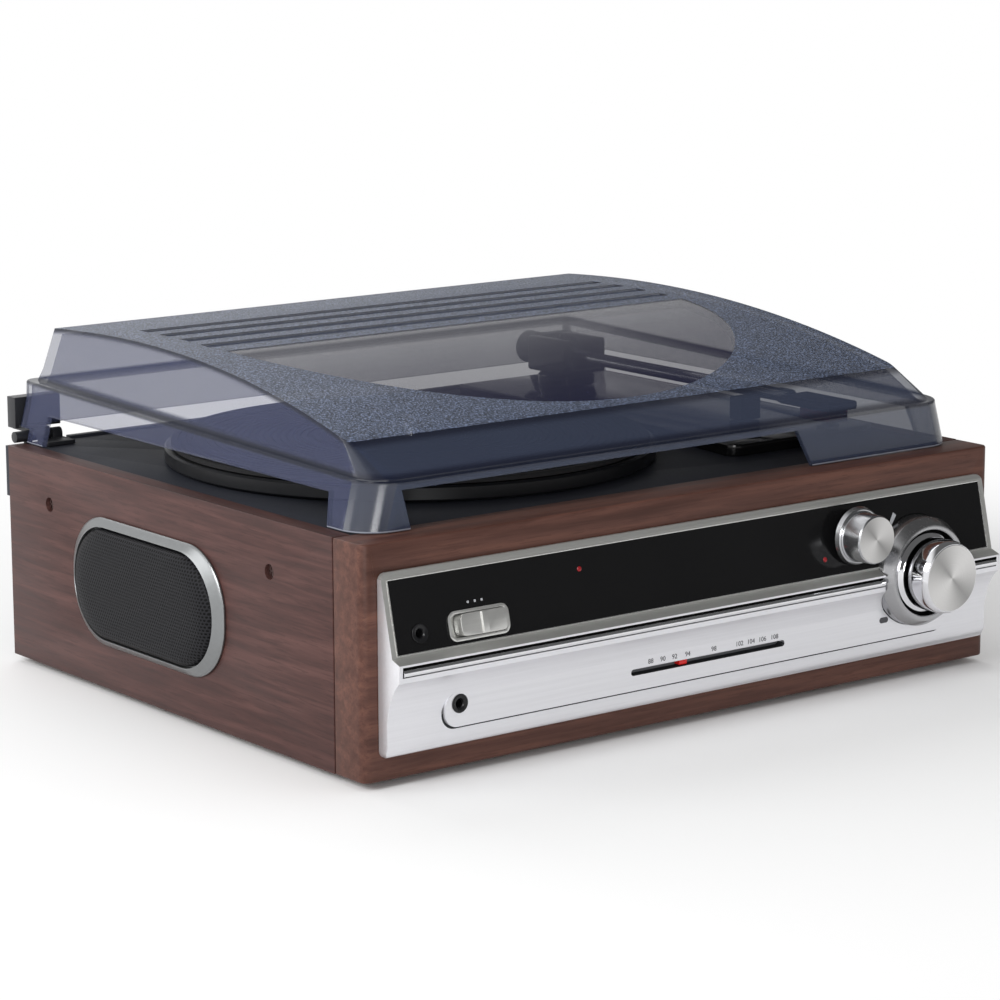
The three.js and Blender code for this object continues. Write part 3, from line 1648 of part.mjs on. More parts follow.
// The space above the top line, sunk by a depth, that a shallow pattern is cut from.
function aboveCrown(depth) {
  const line = crownLine(0).map(([y, z]) => [y, z - depth]);
  const [first, last] = [line[0], line.at(-1)];
  return prism(
    [...line, [last[0], fallHandleHeight + overrun], [first[0], fallHandleHeight + overrun]],
    "x",
    -coverHalfWidth,
    coverHalfWidth,
  );
}

function coverShell() {
  const low = coverFootBottom - overrun;
  const hollow = coverForm(coverWall, low);
  const sideGap = prism(
    [
      [frontFootBack - frontFootSlant, low],
      [backLegFront, low],
      [backLegFront, skirtSideHeight],
      [frontFootBack, skirtSideHeight],
    ],
    "x",
    -flareReach,
    flareReach,
  );
  const frontGap = prism(
    [
      [leftFootRight, low],
      [rightFootLeft, low],
      [rightFootLeft - rightFootTaper, skirtFrontHeight],
      [leftFootRight - leftFootTaper, skirtFrontHeight],
    ],
    "y",
    coverFront - overrun,
    coverFront + coverFrontCorner,
  );
  const backGap = block(
    [-flareReach, flareReach],
    [backLegBack, coverBack + overrun],
    [low, skirtBackHeight],
  );
  const ribs = [];
  for (let i = 0; i < ribCount; i++) {
    const from = ribFront + i * ribPitch;
    const middle = from + ribPitch / 2;
    const outline = [
      [-ribHalfLength, from],
      [ribHalfLength, from],
      [ribHalfLength - ribSlant, middle],
      [-ribHalfLength + ribSlant, middle],
    ];
    ribs.push(prism(outline, "z", creaseHeight, fallHandleHeight));
  }
  const dip = Math.asin(windowChordOffset / windowDepth);
  const arc = [];
  for (let i = 0; i <= windowSteps; i++) {
    const angle = Math.PI + dip + (Math.PI - 2 * dip) * (i / windowSteps);
    arc.push([
      windowX + windowHalfWidth * Math.cos(angle),
      windowY + windowDepth * Math.sin(angle),
    ]);
  }
  const window = prism(arc, "z", creaseHeight - overrun, fallHandleHeight);
  return cut(
    coverForm(0, coverFootBottom),
    hollow,
    sideGap,
    frontGap,
    backGap,
    joined(...ribs).intersect(aboveCrown(ribDepth)),
    window.intersect(aboveCrown(windowSink)),
  );
}
add(cover, "dust_cover", coverShell(), material(0x46505f, 0.2));

// Hinges: a base with two lugs and a pin on the deck, a leaf behind the cover
for (const [word, side] of sides) {
  const across = outward(side, hingeInnerX, hingeOuterX);
  const axle = [hingeAxisY, hingeAxisHeight];
  const lug = (near, far, footFar) =>
    joined(
      rod(hingeBarrelRadius, "x", ...outward(side, near, far), axle, smallSteps),
      block(
        outward(side, near, footFar),
        [hingeAxisY - hingeBarrelRadius, hingeAxisY + hingeBarrelRadius / 2],
        [deckTop + seatGap, hingeAxisHeight],
      ),
    );
  const plate = block(
    outward(side, hingeInnerX, coverHalfWidth),
    [hingeAxisY - hingePlateLength, hingeAxisY],
    [deckTop + seatGap, deckTop + seatGap + hingePlateThickness],
  );
  const base = joined(
    plate,
    lug(hingeInnerX, hingeInnerX + hingeLugWidth, hingeInnerX + hingeLugWidth),
    lug(hingeOuterX - hingeOuterLugWidth, hingeOuterX, innerHalfWidth - seatGap),
    rod(hingePinRadius, "x", across[0], across[1], axle, smallSteps),
  );
  const middle = outward(
    side,
    hingeInnerX + hingeLugWidth + seatGap,
    hingeOuterX - hingeOuterLugWidth - seatGap,
  );
  const clearance = rod(
    hingeBarrelRadius + hingePlateThickness,
    "x",
    middle[0] - seatGap,
    middle[1] + seatGap,
    axle,
    smallSteps,
  );
  const pinAgain = rod(hingePinRadius, "x", across[0], across[1], axle, smallSteps);
  add(cover, word + "_hinge_base", joined(base.subtract(clearance), pinAgain), blackPlastic());

  const knuckle = rod(hingeBarrelRadius, "x", ...middle, axle, smallSteps);
  const bore = rod(
    hingePinRadius + seatGap,
    "x",
    middle[0] - overrun,
    middle[1] + overrun,
    axle,
    smallSteps,
  );
  const web = block(
    middle,
    [hingeAxisY, coverBack + seatGap + hingeLeafThickness],
    [hingeWebBottom, hingeWebTop],
  );
  const leaf = block(
    outward(side, hingeLeafOuterX - hingeLeafWidth, hingeLeafOuterX),
    [coverBack + seatGap, coverBack + seatGap + hingeLeafThickness],
    [hingeLeafBottom, hingeLeafBottom + hingeLeafHeight],
  );
  add(cover, word + "_hinge_leaf", cut(joined(knuckle, web, leaf), bore), blackPlastic());
}

export default musicCentre;
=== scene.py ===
import math

import bpy
from mathutils import Matrix, Vector


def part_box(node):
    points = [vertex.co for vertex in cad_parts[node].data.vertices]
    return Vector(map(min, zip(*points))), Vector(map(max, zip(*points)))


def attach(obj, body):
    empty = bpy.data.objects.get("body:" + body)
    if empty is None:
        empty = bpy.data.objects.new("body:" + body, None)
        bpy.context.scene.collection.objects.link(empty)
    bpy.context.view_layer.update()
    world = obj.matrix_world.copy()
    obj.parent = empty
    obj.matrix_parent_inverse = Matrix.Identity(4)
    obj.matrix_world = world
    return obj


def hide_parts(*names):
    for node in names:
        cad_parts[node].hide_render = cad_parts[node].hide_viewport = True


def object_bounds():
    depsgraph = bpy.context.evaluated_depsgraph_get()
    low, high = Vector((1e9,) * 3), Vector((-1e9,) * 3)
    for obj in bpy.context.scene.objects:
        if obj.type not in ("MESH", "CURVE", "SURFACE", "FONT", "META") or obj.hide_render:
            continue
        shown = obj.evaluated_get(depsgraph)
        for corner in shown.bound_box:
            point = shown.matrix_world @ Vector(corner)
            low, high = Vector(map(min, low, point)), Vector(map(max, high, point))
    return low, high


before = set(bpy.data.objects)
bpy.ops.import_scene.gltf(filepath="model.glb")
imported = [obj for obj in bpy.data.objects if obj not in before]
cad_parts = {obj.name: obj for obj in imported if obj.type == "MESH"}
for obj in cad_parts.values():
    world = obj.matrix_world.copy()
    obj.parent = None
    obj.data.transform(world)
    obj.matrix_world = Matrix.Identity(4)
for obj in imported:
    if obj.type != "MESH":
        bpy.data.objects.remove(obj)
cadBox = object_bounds()
print("frame loaded")

# Places are given in millimetres as on the drawing of the cabinet:
# x from its middle, y back from its front face, z up from its underside.
mm = 0.001
boardLow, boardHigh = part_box("front_board")
cabinetOrigin = Vector(((boardLow.x + boardHigh.x) / 2, boardLow.y, boardLow.z))
directions = {"x": Vector((1, 0, 0)), "y": Vector((0, 1, 0)), "z": Vector((0, 0, 1))}


def at(x, y, z):
    return cabinetOrigin + Vector((x, y, z)) * mm


def drawingPlace(point):
    return (point - cabinetOrigin) / mm


# camera, room and lamps
photoView = {
    "place": (-932, -1073.1, 380.4), "turn": -37.58, "down": 11.38, "roll": -0.19,
    "lens": 122.6, "sensor": 36,
}


def added(name, data):
    # a new object with this data, in the scene
    piece = bpy.data.objects.new(name, data)
    bpy.context.scene.collection.objects.link(piece)
    return piece


def addCamera(view):
    cameraData = bpy.data.cameras.new("photoCamera")
    cameraData.lens = view["lens"]
    cameraData.sensor_width = view["sensor"]
    camera = added("photoCamera", cameraData)
    turn = Matrix.Rotation(math.radians(view["turn"]), 4, "Z")
    tilt = Matrix.Rotation(math.radians(90 - view["down"]), 4, "X")
    roll = Matrix.Rotation(math.radians(view["roll"]), 4, "Z")
    place = Matrix.Translation(at(*view["place"]))
    camera.matrix_world = place @ turn @ tilt @ roll
    bpy.context.scene.camera = camera


addCamera(photoView)

lamps = {
    "keyLamp": {"place": (-1500, -300, 1000), "size": 0.7, "power": 15},
    "sideLamp": {"place": (-1500, 900, 700), "size": 0.9, "power": 6},
    "fillLamp": {"place": (-1150, -1550, 420), "size": 0.6, "power": 9},
    "backLamp": {"place": (200, 1400, 1300), "size": 1.2, "power": 7},
}
room = {"shade": 0.56, "dim": 0.12, "dimFrom": -0.12, "dimTo": 0.28, "dimSide": (0.72, -0.6, 0.35)}


def addLamps():
    middle = at(0, 140, 70)
    for name, lamp in lamps.items():
        lampData = bpy.data.lights.new(name, "AREA")
        lampData.size = lamp["size"]
        lampData.energy = lamp["power"]
        light = added(name, lampData)
        light.location = at(*lamp["place"])
        light.rotation_euler = (middle - light.location).to_track_quat("-Z", "Y").to_euler()


addLamps()
bpy.context.scene.view_settings.view_transform = "Standard"
print("camera and lamps placed")


# finishes
def feed(tree, socket, value):
    # a wire is linked to the socket, and a plain value is set on it
    if isinstance(value, Wire):
        tree.links.new(value.socket, socket)
    else:
        socket.default_value = value


class Wire:
    # a socket that can be added, multiplied and so on, each adding its Math node
    def __init__(self, tree, socket=None):
        self.tree = tree
        self.socket = socket

    def node(self, kind, settings=None, sockets=None, output=0):
        made = self.tree.nodes.new("ShaderNode" + kind)
        for name, value in (settings or {}).items():
            if name == "stops":
                ramp = made.color_ramp
                while len(ramp.elements) < len(value):
                    ramp.elements.new(0.5)
                for element, (position, colour) in zip(ramp.elements, value):
                    element.position = position
                    element.color = colour
            else:
                setattr(made, name, value)
        for name, value in (sockets or {}).items():
            feed(self.tree, made.inputs[name], value)
        return Wire(self.tree, made.outputs[output])

    def maths(self, operation, other=0):
        return self.node("Math", {"operation": operation}, {0: self, 1: other})

    def __add__(self, other):
        return self.maths("ADD", other)

    def __sub__(self, other):
        return self.maths("SUBTRACT", other)

    def __rsub__(self, other):
        return self.node("Math", {"operation": "SUBTRACT"}, {0: other, 1: self})

    def __mul__(self, other):
        return self.maths("MULTIPLY", other)

    def __lt__(self, other):
        return self.maths("LESS_THAN", other)

    def __gt__(self, other):
        return self.maths("GREATER_THAN", other)

    __radd__ = __add__
    __rmul__ = __mul__


def outputsOf(wire, *names):
    # the named outputs of the node that a wire comes from
    return [Wire(wire.tree, wire.socket.node.outputs[name]) for name in names]


def partsOf(wire):
    return outputsOf(wire.node("SeparateXYZ", None, {0: wire}), "X", "Y", "Z")


def raysOf(tree):
    # which rays are the camera's, a mirror's or a clear piece's
    names = ("Is Camera Ray", "Is Glossy Ray", "Is Transmission Ray")
    return outputsOf(Wire(tree).node("LightPath"), *names)


def eased(wire, start, end, first, last):
    # goes smoothly from the first value to the last while the wire goes from start to end
    ranges = {"Value": wire, 1: start, 2: end, 3: first, 4: last}
    return wire.node("MapRange", {"interpolation_type": "SMOOTHSTEP"}, ranges)


def paint(red, green, blue):
    # a colour as a screen shows it, from 0 to 255
    def light(value):
        share = value / 255
        return share / 12.92 if share <= 0.04045 else ((share + 0.055) / 1.055) ** 2.4

    return (light(red), light(green), light(blue), 1)


def shaded(colour, factor, lift=0):
    # the same colour, darker or lighter
    return tuple(min(1, value * factor + lift) for value in colour[:3]) + (1,)


class Finish:
    # a material, its surface shader and the place on the piece that patterns read
    def __init__(self, name, colour, roughness, metallic=0, specular=0.5, **constants):
        self.material = bpy.data.materials.new(name)
        self.material.use_nodes = True
        self.tree = self.material.node_tree
        self.surface = self.tree.nodes["Principled BSDF"]
        self.set("Base Color", colour)
        self.set("Roughness", roughness)
        self.set("Metallic", metallic)
        self.set("Specular IOR Level", specular)
        for socket, value in constants.items():
            self.set(socket.replace("_", " "), value)
        self.place = Wire(self.tree).node("TexCoord", output="Object")

    def set(self, socket, value):
        feed(self.tree, self.surface.inputs[socket], value)

    def placeFrom(self, centre):
        return self.place.node("VectorMath", {"operation": "SUBTRACT"}, {0: self.place, 1: centre})

    def mapped(self, scale, centre=(0, 0, 0)):
        moved = self.placeFrom(centre)
        return moved.node("Mapping", None, {"Vector": moved, "Scale": scale})

    def noise(self, vector, scale, detail, roughness=0.5, distortion=0):
        sockets = {"Vector": vector, "Scale": scale, "Detail": detail, "Roughness": roughness}
        sockets["Distortion"] = distortion
        return vector.node("TexNoise", None, sockets)

    def ramp(self, factor, *stops):
        return factor.node("ValToRGB", {"stops": stops}, {"Fac": factor})

    def mix(self, factor, first, second):
        sockets = {0: factor, 6: first, 7: second}
        return self.place.node("Mix", {"data_type": "RGBA"}, sockets, output=2)

    def bump(self, height, strength, distance):
        sockets = {"Height": height, "Strength": strength, "Distance": distance}
        self.set("Normal", height.node("Bump", None, sockets))


def addRoom():
    # white to the camera; shiny pieces see the room's dim side behind the camera
    world = bpy.data.worlds.new("room")
    bpy.context.scene.world = world
    world.use_nodes = True
    tree = world.node_tree
    background = tree.nodes["Background"]
    cameraRay, glossyRay, clearRay = raysOf(tree)
    direction = cameraRay.node("TexCoord", output="Generated")
    sockets = {0: direction, 1: Vector(room["dimSide"]).normalized()}
    facing = cameraRay.node("VectorMath", {"operation": "DOT_PRODUCT"}, sockets, "Value")
    mirrored = eased(facing, room["dimFrom"], room["dimTo"], 1, room["dim"])
    white = (cameraRay + clearRay) > 0.5
    glossy = glossyRay * (1 - white)
    plain = 1 - white - glossy
    strength = white + glossy * mirrored + plain * room["shade"]
    feed(tree, background.inputs["Strength"], strength)
    feed(tree, background.inputs["Color"], (1, 1, 1, 1))


addRoom()


def wood(name, along, dark, middle, light):
    # long streaks of grain that run along x or y, with fine pores between them
    finish = Finish(name, middle, 0.42, specular=0.22)
    stretch = {"x": (4, 70, 70), "y": (70, 4, 70)}[along]
    finer = tuple(value * 4 for value in stretch)
    fine = tuple(value * 12 for value in stretch)
    broad = finish.noise(finish.mapped(stretch), 1, 4, 0.55, 0.6)
    streaks = finish.noise(finish.mapped(finer), 1, 5, 0.6, 0.3)
    pores = finish.noise(finish.mapped(fine), 1, 3, 0.6)
    grain = broad * 0.4 + streaks * 0.6
    colour = finish.ramp(grain, (0.34, dark), (0.5, middle), (0.64, light))
    finish.set("Base Color", finish.mix((pores > 0.58) * 0.4, colour, dark))
    finish.set("Roughness", 0.34 + streaks * 0.2)
    finish.bump(streaks * 0.6 + pores * 0.4, 0.15, 0.0001)
    return finish.material


def moulded(name, colour, roughness, grain=0.25, **constants):
    # plastic with a faint moulded grain and a slight change of tone
    finish = Finish(name, colour, roughness, **constants)
    cells = finish.noise(finish.place, 900, 3)
    tone = finish.noise(finish.place, 18, 2)
    finish.set("Base Color", finish.mix(tone, shaded(colour, 0.9), shaded(colour, 1.12, 0.002)))
    finish.set("Roughness", (roughness - 0.05) + cells * 0.1)
    finish.bump(cells, grain, 0.0001)
    return finish.material


def brushed(name, colour, roughness, stretch, metallic=0.9, depth=0.12):
    # metal with fine lines along the axis whose stretch is smallest
    finish = Finish(name, colour, roughness, metallic)
    lines = finish.noise(finish.mapped(stretch), 1, 4, 0.6)
    finish.set("Base Color", finish.mix(lines, shaded(colour, 0.86), colour))
    finish.set("Roughness", (roughness - 0.06) + lines * 0.14)
    finish.bump(lines, depth, 0.0001)
    return finish.material


def spun(name, centre, colour, roughness):
    # a turned metal face: fine rings round the knob's axis, and soft rays across it that are painted
    # highlights, the colour going between a shaded and a lit copy of itself round the axis
    finish = Finish(name, colour, roughness, 1)
    x, _, z = partsOf(finish.placeFrom(centre))
    radius = (x * x + z * z).maths("SQRT")
    rings = finish.noise(finish.place.node("CombineXYZ", None, {0: radius * 9000}), 1, 2)
    # painted highlight: two light and two dark wedges fixed across the face, standing in for the sheen of
    # spun metal
    angle = z.maths("ARCTAN2", x) * 2 - 1.5
    paintedSheenRays = (angle.maths("COSINE") * 0.5 + 0.5).maths("POWER", 0.6)
    light = paintedSheenRays * 0.85 + rings * 0.15
    finish.set("Base Color", finish.mix(light, shaded(colour, 0.55), shaded(colour, 1.3)))
    finish.set("Roughness", (roughness - 0.05) + rings * 0.12)
    finish.bump(rings, 0.2, 0.00005)
    return finish.material


def chromeFinish():
    finish = Finish("chrome", paint(232, 232, 235), 0.06, 1)
    haze = finish.noise(finish.place, 60, 3)
    finish.set("Roughness", 0.03 + haze * 0.07)
    finish.set("Base Color", finish.mix(haze, paint(222, 222, 226), paint(240, 240, 242)))
    return finish.material


def woven(name, centre):
    # round holes of a fine punched sheet, every other row shifted by half a pitch
    pitch, rows = 0.0017, 1.15
    finish = Finish(name, paint(30, 30, 33), 0.5, specular=0.12)
    _, across, up = partsOf(finish.mapped((1 / pitch, 1 / pitch, 1 / pitch), centre))
    row = (up * rows).maths("FLOOR")
    shifted = across + (row * 0.5).maths("PINGPONG", 0.5)
    u, v = shifted.maths("FRACT") - 0.5, (up * rows).maths("FRACT") - 0.5
    hole = (u * u + v * v).maths("SQRT")
    edge = finish.ramp(hole, (0.28, (0, 0, 0, 1)), (0.4, (1, 1, 1, 1)))
    finish.set("Base Color", finish.mix(edge, paint(2, 2, 3), paint(34, 34, 37)))
    finish.bump(edge, 0.6, 0.0004)
    return finish.material


# ways of working
seamGap = 0.000004


def toMode(mode):
    bpy.ops.object.mode_set(mode=mode)


def nothingSelected():
    if bpy.context.mode != "OBJECT":
        toMode("OBJECT")
    bpy.ops.object.select_all(action="DESELECT")


def makeActive(piece):
    nothingSelected()
    piece.select_set(True)
    bpy.context.view_layer.objects.active = piece


def editAll(piece):
    makeActive(piece)
    toMode("EDIT")
    bpy.ops.mesh.select_mode(type="VERT")
    bpy.ops.mesh.select_all(action="SELECT")


def tidied(piece, smooth=30):
    # closes seams and turns all faces outwards
    editAll(piece)
    bpy.ops.mesh.remove_doubles(threshold=seamGap)
    bpy.ops.mesh.normals_make_consistent(inside=False)
    toMode("OBJECT")
    bpy.ops.object.shade_smooth_by_angle(angle=math.radians(smooth))
    return piece


def applied(piece, modifier):
    makeActive(piece)
    bpy.ops.object.modifier_apply(modifier=modifier.name)


def rounded(piece, width, segments=3, angle=32, slotNumber=-1):
    # rounds the edges that are sharper than the angle
    bevel = piece.modifiers.new("roundEdges", "BEVEL")
    bevel.width = width * mm
    bevel.segments = segments
    bevel.limit_method = "ANGLE"
    bevel.angle_limit = math.radians(angle)
    bevel.miter_outer = "MITER_ARC"
    bevel.material = slotNumber
    applied(piece, bevel)
    bpy.ops.object.shade_smooth_by_angle(angle=math.radians(30))
    return piece


def combined(piece, operation, *tools):
    for tool in tools:
        change = piece.modifiers.new("shape", "BOOLEAN")
        change.operation = operation
        change.solver = "EXACT"
        change.object = tool
        applied(piece, change)
        bpy.data.objects.remove(tool, do_unlink=True)
    return piece


def merged(piece, gap, angle):
    # joins points within the gap and faces that are flat to within the angle
    editAll(piece)
    bpy.ops.mesh.remove_doubles(threshold=gap)
    bpy.ops.mesh.dissolve_limited(angle_limit=math.radians(angle))
    toMode("OBJECT")
    return piece


def copyOf(node, name):
    # a merged copy of a CAD node, to be worked on
    piece = added(name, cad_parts[node].data.copy())
    makeActive(piece)
    bpy.ops.mesh.customdata_custom_splitnormals_clear()
    return merged(piece, seamGap, 0.5)


def block(name, low, high):
    # a block between two corners of the drawing
    nothingSelected()
    start, end = at(*low), at(*high)
    bpy.ops.mesh.primitive_cube_add(size=1, location=(start + end) / 2, scale=end - start)
    return placedMesh(name)


def drawOut(axis, distance):
    # draws the selected faces out along an axis
    step = directions[axis] * distance * mm
    bpy.ops.mesh.extrude_region_move(TRANSFORM_OT_translate={"value": step})


def placedMesh(name):
    piece = bpy.context.active_object
    piece.name = name
    piece.data.name = name
    bpy.ops.object.transform_apply(location=True, rotation=True, scale=True)
    return piece


faceTurns = {"x": (0, math.pi / 2, 0), "y": (math.pi / 2, 0, 0), "z": (0, 0, 0)}


def turned(name, profile, centre, axis, steps):
    # a disc that is drawn out and scaled step by step: the profile's points are
    # (radius, place along the axis)
    nothingSelected()
    direction = directions[axis]
    radius, place = profile[0]
    circle = {"vertices": steps, "radius": radius * mm, "fill_type": "NGON"}
    start = centre + direction * place * mm
    bpy.ops.mesh.primitive_circle_add(location=start, rotation=faceTurns[axis], **circle)
    piece = placedMesh(name)
    editAll(piece)
    bpy.ops.mesh.select_mode(type="FACE")
    for nextRadius, nextPlace in profile[1:]:
        drawOut(axis, nextPlace - place)
        scale = nextRadius / radius
        middle = centre + direction * nextPlace * mm
        bpy.ops.transform.resize(value=(scale, scale, scale), center_override=middle)
        radius, place = nextRadius, nextPlace
    return tidied(piece)


def ringPoints(low, high, corner, steps=10):
    # a rectangle with round corners; corner is one radius, or one for the low edge of the
    # second axis and one for its high edge
    near, far = corner if isinstance(corner, tuple) else (corner, corner)
    spots = [
        (high[0] - near, low[1] + near, near, -90),
        (high[0] - far, high[1] - far, far, 0),
        (low[0] + far, high[1] - far, far, 90),
        (low[0] + near, low[1] + near, near, 180),
    ]
    points = []
    for a, b, radius, start in spots:
        for step in range(steps + 1):
            angle = math.radians(start + 90 * step / steps)
            points.append((a + radius * math.cos(angle), b + radius * math.sin(angle)))
    return points


def onPlane(axis, point, place):
    a, b = point
    return {"x": at(place, a, b), "y": at(a, place, b), "z": at(a, b, place)}[axis]


def drawnFace(name, outline, axis, place):
    # an outline drawn as a line, made a mesh and filled
    nothingSelected()
    line = bpy.data.curves.new(name, "CURVE")
    line.dimensions = "3D"
    spline = line.splines.new("POLY")
    spline.points.add(len(outline) - 1)
    for point, spot in zip(spline.points, outline):
        point.co = (*onPlane(axis, spot, place), 1)
    spline.use_cyclic_u = True
    piece = added(name, line)
    makeActive(piece)
    bpy.ops.object.convert(target="MESH")
    editAll(piece)
    bpy.ops.mesh.edge_face_add()
    return piece


def drawn(name, outline, axis, start, end):
    # a filled outline drawn out along an axis
    piece = drawnFace(name, outline, axis, start)
    drawOut(axis, end - start)
    return tidied(piece)


def stacked(name, levels, axis):
    # outlines of as many points each, stacked along an axis: each one is drawn out from
    # the one before it and then shaped
    outline, place = levels[0]
    piece = drawnFace(name, outline, axis, place)
    bpy.ops.mesh.select_mode(type="FACE")
    for nextOutline, nextPlace in levels[1:]:
        drawOut(axis, nextPlace - place)
        toMode("OBJECT")
        moved = [vertex for vertex in piece.data.vertices if vertex.select]
        for spot, target in zip(outline, nextOutline):
            corner = onPlane(axis, spot, nextPlace)
            vertex = min(moved, key=lambda v: (v.co - corner).length_squared)
            moved.remove(vertex)
            vertex.co = onPlane(axis, target, nextPlace)
        toMode("EDIT")
        outline, place = nextOutline, nextPlace
    return tidied(piece)


def curvePoints(corners, steps):
    # points of a cubic curve from its first corner to its last
    points = []
    for step in range(steps + 1):
        t = step / steps
        shares = ((1 - t) ** 3, 3 * (1 - t) ** 2 * t, 3 * (1 - t) * t * t, t**3)
        points.append(tuple(sum(s * c[i] for s, c in zip(shares, corners)) for i in (0, 1)))
    return points


def mirrored(piece, name):
    # the same piece on the other side, with its own mesh
    twin = added(name, piece.data.copy())
    twin.data.transform(Matrix.Translation((2 * cabinetOrigin.x, 0, 0)) @ Matrix.Scale(-1, 4, (1, 0, 0)))
    return tidied(twin)


def fitted(piece, finish, slotName, *nodes, body="cabinet"):
    # gives a piece its finish, its body and the CAD nodes whose place it takes; the slot's name is not used
    finishes = finish if isinstance(finish, list) else [finish]
    slots = piece.data.materials
    while len(slots) < len(finishes):
        slots.append(None)
    while len(slots) > len(finishes):
        slots.pop()
    for number, material in enumerate(finishes):
        slots[number] = material
    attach(piece, body)
    if nodes:
        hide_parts(*nodes)
    return piece


def refined(node, name, finish, slotName, *edges, body="cabinet"):
    # a copy of a CAD node with rounded edges takes the node's place
    return fitted(rounded(copyOf(node, name), *edges), finish, slotName, node, body=body)


def marked(piece, choose):
    # each face takes the number of the finish that suits its middle and normal
    for face in piece.data.polygons:
        face.material_index = choose(drawingPlace(face.center), face.normal, face.material_index)
    return piece


def dressed(finish, *nodes):
    # a CAD node that stays gets a better finish
    for node in nodes:
        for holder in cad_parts[node].material_slots:
            holder.material = finish


# floor
floorLook = {"size": 12, "whiteFrom": 0.28, "whiteTo": 0.58}
floorFinish = Finish("paleFloor", (0.93, 0.93, 0.93, 1), 0.9, specular=0.1)
floorTone = floorFinish.noise(floorFinish.place, 3, 2)
floorFinish.set("Base Color", floorFinish.mix(floorTone, (0.93, 0.93, 0.93, 1), (0.96, 0.96, 0.96, 1)))


def whitenFar(finish, look):
    # away from the object the camera, mirrors and clear pieces see plain white
    tree = finish.tree
    far = finish.place.node("VectorMath", {"operation": "LENGTH"}, {0: finish.place}, "Value")
    white = eased(far, look["whiteFrom"], look["whiteTo"], 0, 1)
    cameraRay, glossyRay, clearRay = raysOf(tree)
    seen = (cameraRay + glossyRay + clearRay) > 0.5
    glow = far.node("Emission", None, {"Color": (1, 1, 1, 1), "Strength": 1})
    surface = Wire(tree, finish.surface.outputs[0])
    both = far.node("MixShader", None, {0: white * seen, 1: surface, 2: glow})
    feed(tree, tree.nodes["Material Output"].inputs["Surface"], both)


whitenFar(floorFinish, floorLook)
nothingSelected()
bpy.ops.mesh.primitive_plane_add(size=floorLook["size"], location=(0, 0, cadBox[0][2]))
floor = placedMesh("floor")
floor.data.materials.append(floorFinish.material)

# cabinet
cabinetLook = {"frontEdge": 0.9, "sideEdge": 0.45, "side": 175}
screwLook = {"holeRadius": 3.3, "height": 76, "places": (66.1, 243.6), "sunk": 1.4}
frontWood = wood("frontWalnut", "x", paint(66, 41, 34), paint(84, 55, 47), paint(102, 68, 57))
# the side boards' walnut has its grain along y and is drawn darker than the front's as painted shade
sideWoodPaintedShade = wood("sideWalnutPaintedShade", "y", paint(52, 34, 32), paint(70, 46, 43), paint(88, 60, 56))
blackPlastic = moulded("blackPlastic", paint(36, 38, 43), 0.5)
rubber = moulded("footRubber", paint(24, 24, 26), 0.8, 0.4)
steel = brushed("steelSheet", paint(156, 159, 163), 0.35, (40, 900, 900))

refined("front_board", "frontBoard", frontWood, "walnut", cabinetLook["frontEdge"])

screwFinish = moulded("darkScrew", paint(52, 30, 26), 0.35, Metallic=0.4)
for side, word in ((-1, "left"), (1, "right")):
    sideBoard = rounded(copyOf(word + "_side_board", word + "SideBoard"), cabinetLook["sideEdge"])
    for number, y in enumerate(screwLook["places"]):
        radius, z, face = screwLook["holeRadius"], screwLook["height"], side * cabinetLook["side"]
        hole = turned("hole", [(radius, 0), (radius, 4)], at(face - 2.2, y, z), "x", 32)
        combined(sideBoard, "DIFFERENCE", hole)
        headProfile = [(1.2, -1.2), (2.9, -1.2), (3, -0.5), (2.4, 0.1), (1.2, 0.35), (0.3, 0.4)]
        head = turned(word + "Screw" + str(number + 1), headProfile, at(0, y, z), "x", 32)
        slots = [
            block("slot", (0, y - 1.8, z - 0.4), (1, y + 1.8, z + 0.4)),
            block("slot", (0, y - 0.4, z - 1.8), (1, y + 0.4, z + 1.8)),
        ]
        combined(head, "DIFFERENCE", *slots)
        outwards = Matrix.Scale(side, 4, (1, 0, 0))
        sink = Matrix.Translation(((face - side * screwLook["sunk"]) * mm, 0, 0))
        head.data.transform(sink @ outwards)
        fitted(tidied(head), screwFinish, "steel")
    fitted(tidied(sideBoard), sideWoodPaintedShade, "walnut", word + "_side_board")

for node in ("front_left_foot", "front_right_foot", "rear_left_foot", "rear_right_foot"):
    low, high = (drawingPlace(corner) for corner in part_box(node))
    middle = at((low.x + high.x) / 2, (low.y + high.y) / 2, 0)
    profile = [(9, high.z), (10, high.z), (10, low.z + 0.8), (9.2, low.z), (5.5, low.z), (5, low.z + 0.6)]
    foot = turned(node.title().replace("_", ""), profile, middle, "z", 48)
    fitted(foot, rubber, "foot_rubber", node)

boardTones = [paint(118, 92, 66), paint(138, 108, 80), paint(152, 122, 94)]
fibreboard = wood("fibreboard", "x", *boardTones)
dressed(fibreboard, "base_board")
dressed(steel, "transformer", "volume_pot", "volume_shaft", "tuning_shaft", "motor")
dressed(moulded("ivoryPlastic", paint(216, 212, 196), 0.5), "tuning_capacitor")
dressed(moulded("circuitBoard", paint(47, 93, 58), 0.5, 0.1), "main_board")
dressed(moulded("beltRubber", paint(26, 26, 28), 0.75), "drive_belt")
brass = brushed("brass", paint(176, 140, 74), 0.3, (300, 300, 900))
dressed(brass, "spindle_bearing", "motor_pulley")
dressed(blackPlastic, "left_speaker_driver", "right_speaker_driver")

refined("back_panel", "backPanel", blackPlastic, "black_plastic", 0.4, 2)
refined("line_out_sockets", "lineOutSockets", steel, "steel", 0.3, 2, 40)
refined("cord_gland", "cordGland", rubber, "foot_rubber", 0.4, 2, 40)
print("cabinet built")

# turntable
deckPlastic = moulded("deckPlastic", paint(46, 48, 55), 0.45, 0.3, specular=0.15)
glossBlack = moulded("glossBlack", paint(13, 13, 14), 0.12, 0.01, specular=0.3)
platterCentre = at(-44, 146.5, 0)
armCentre = (115, 233)
armHeight = 117.8

refined("deck_plate", "deckPlate", deckPlastic, "deck_plastic", 0.6)

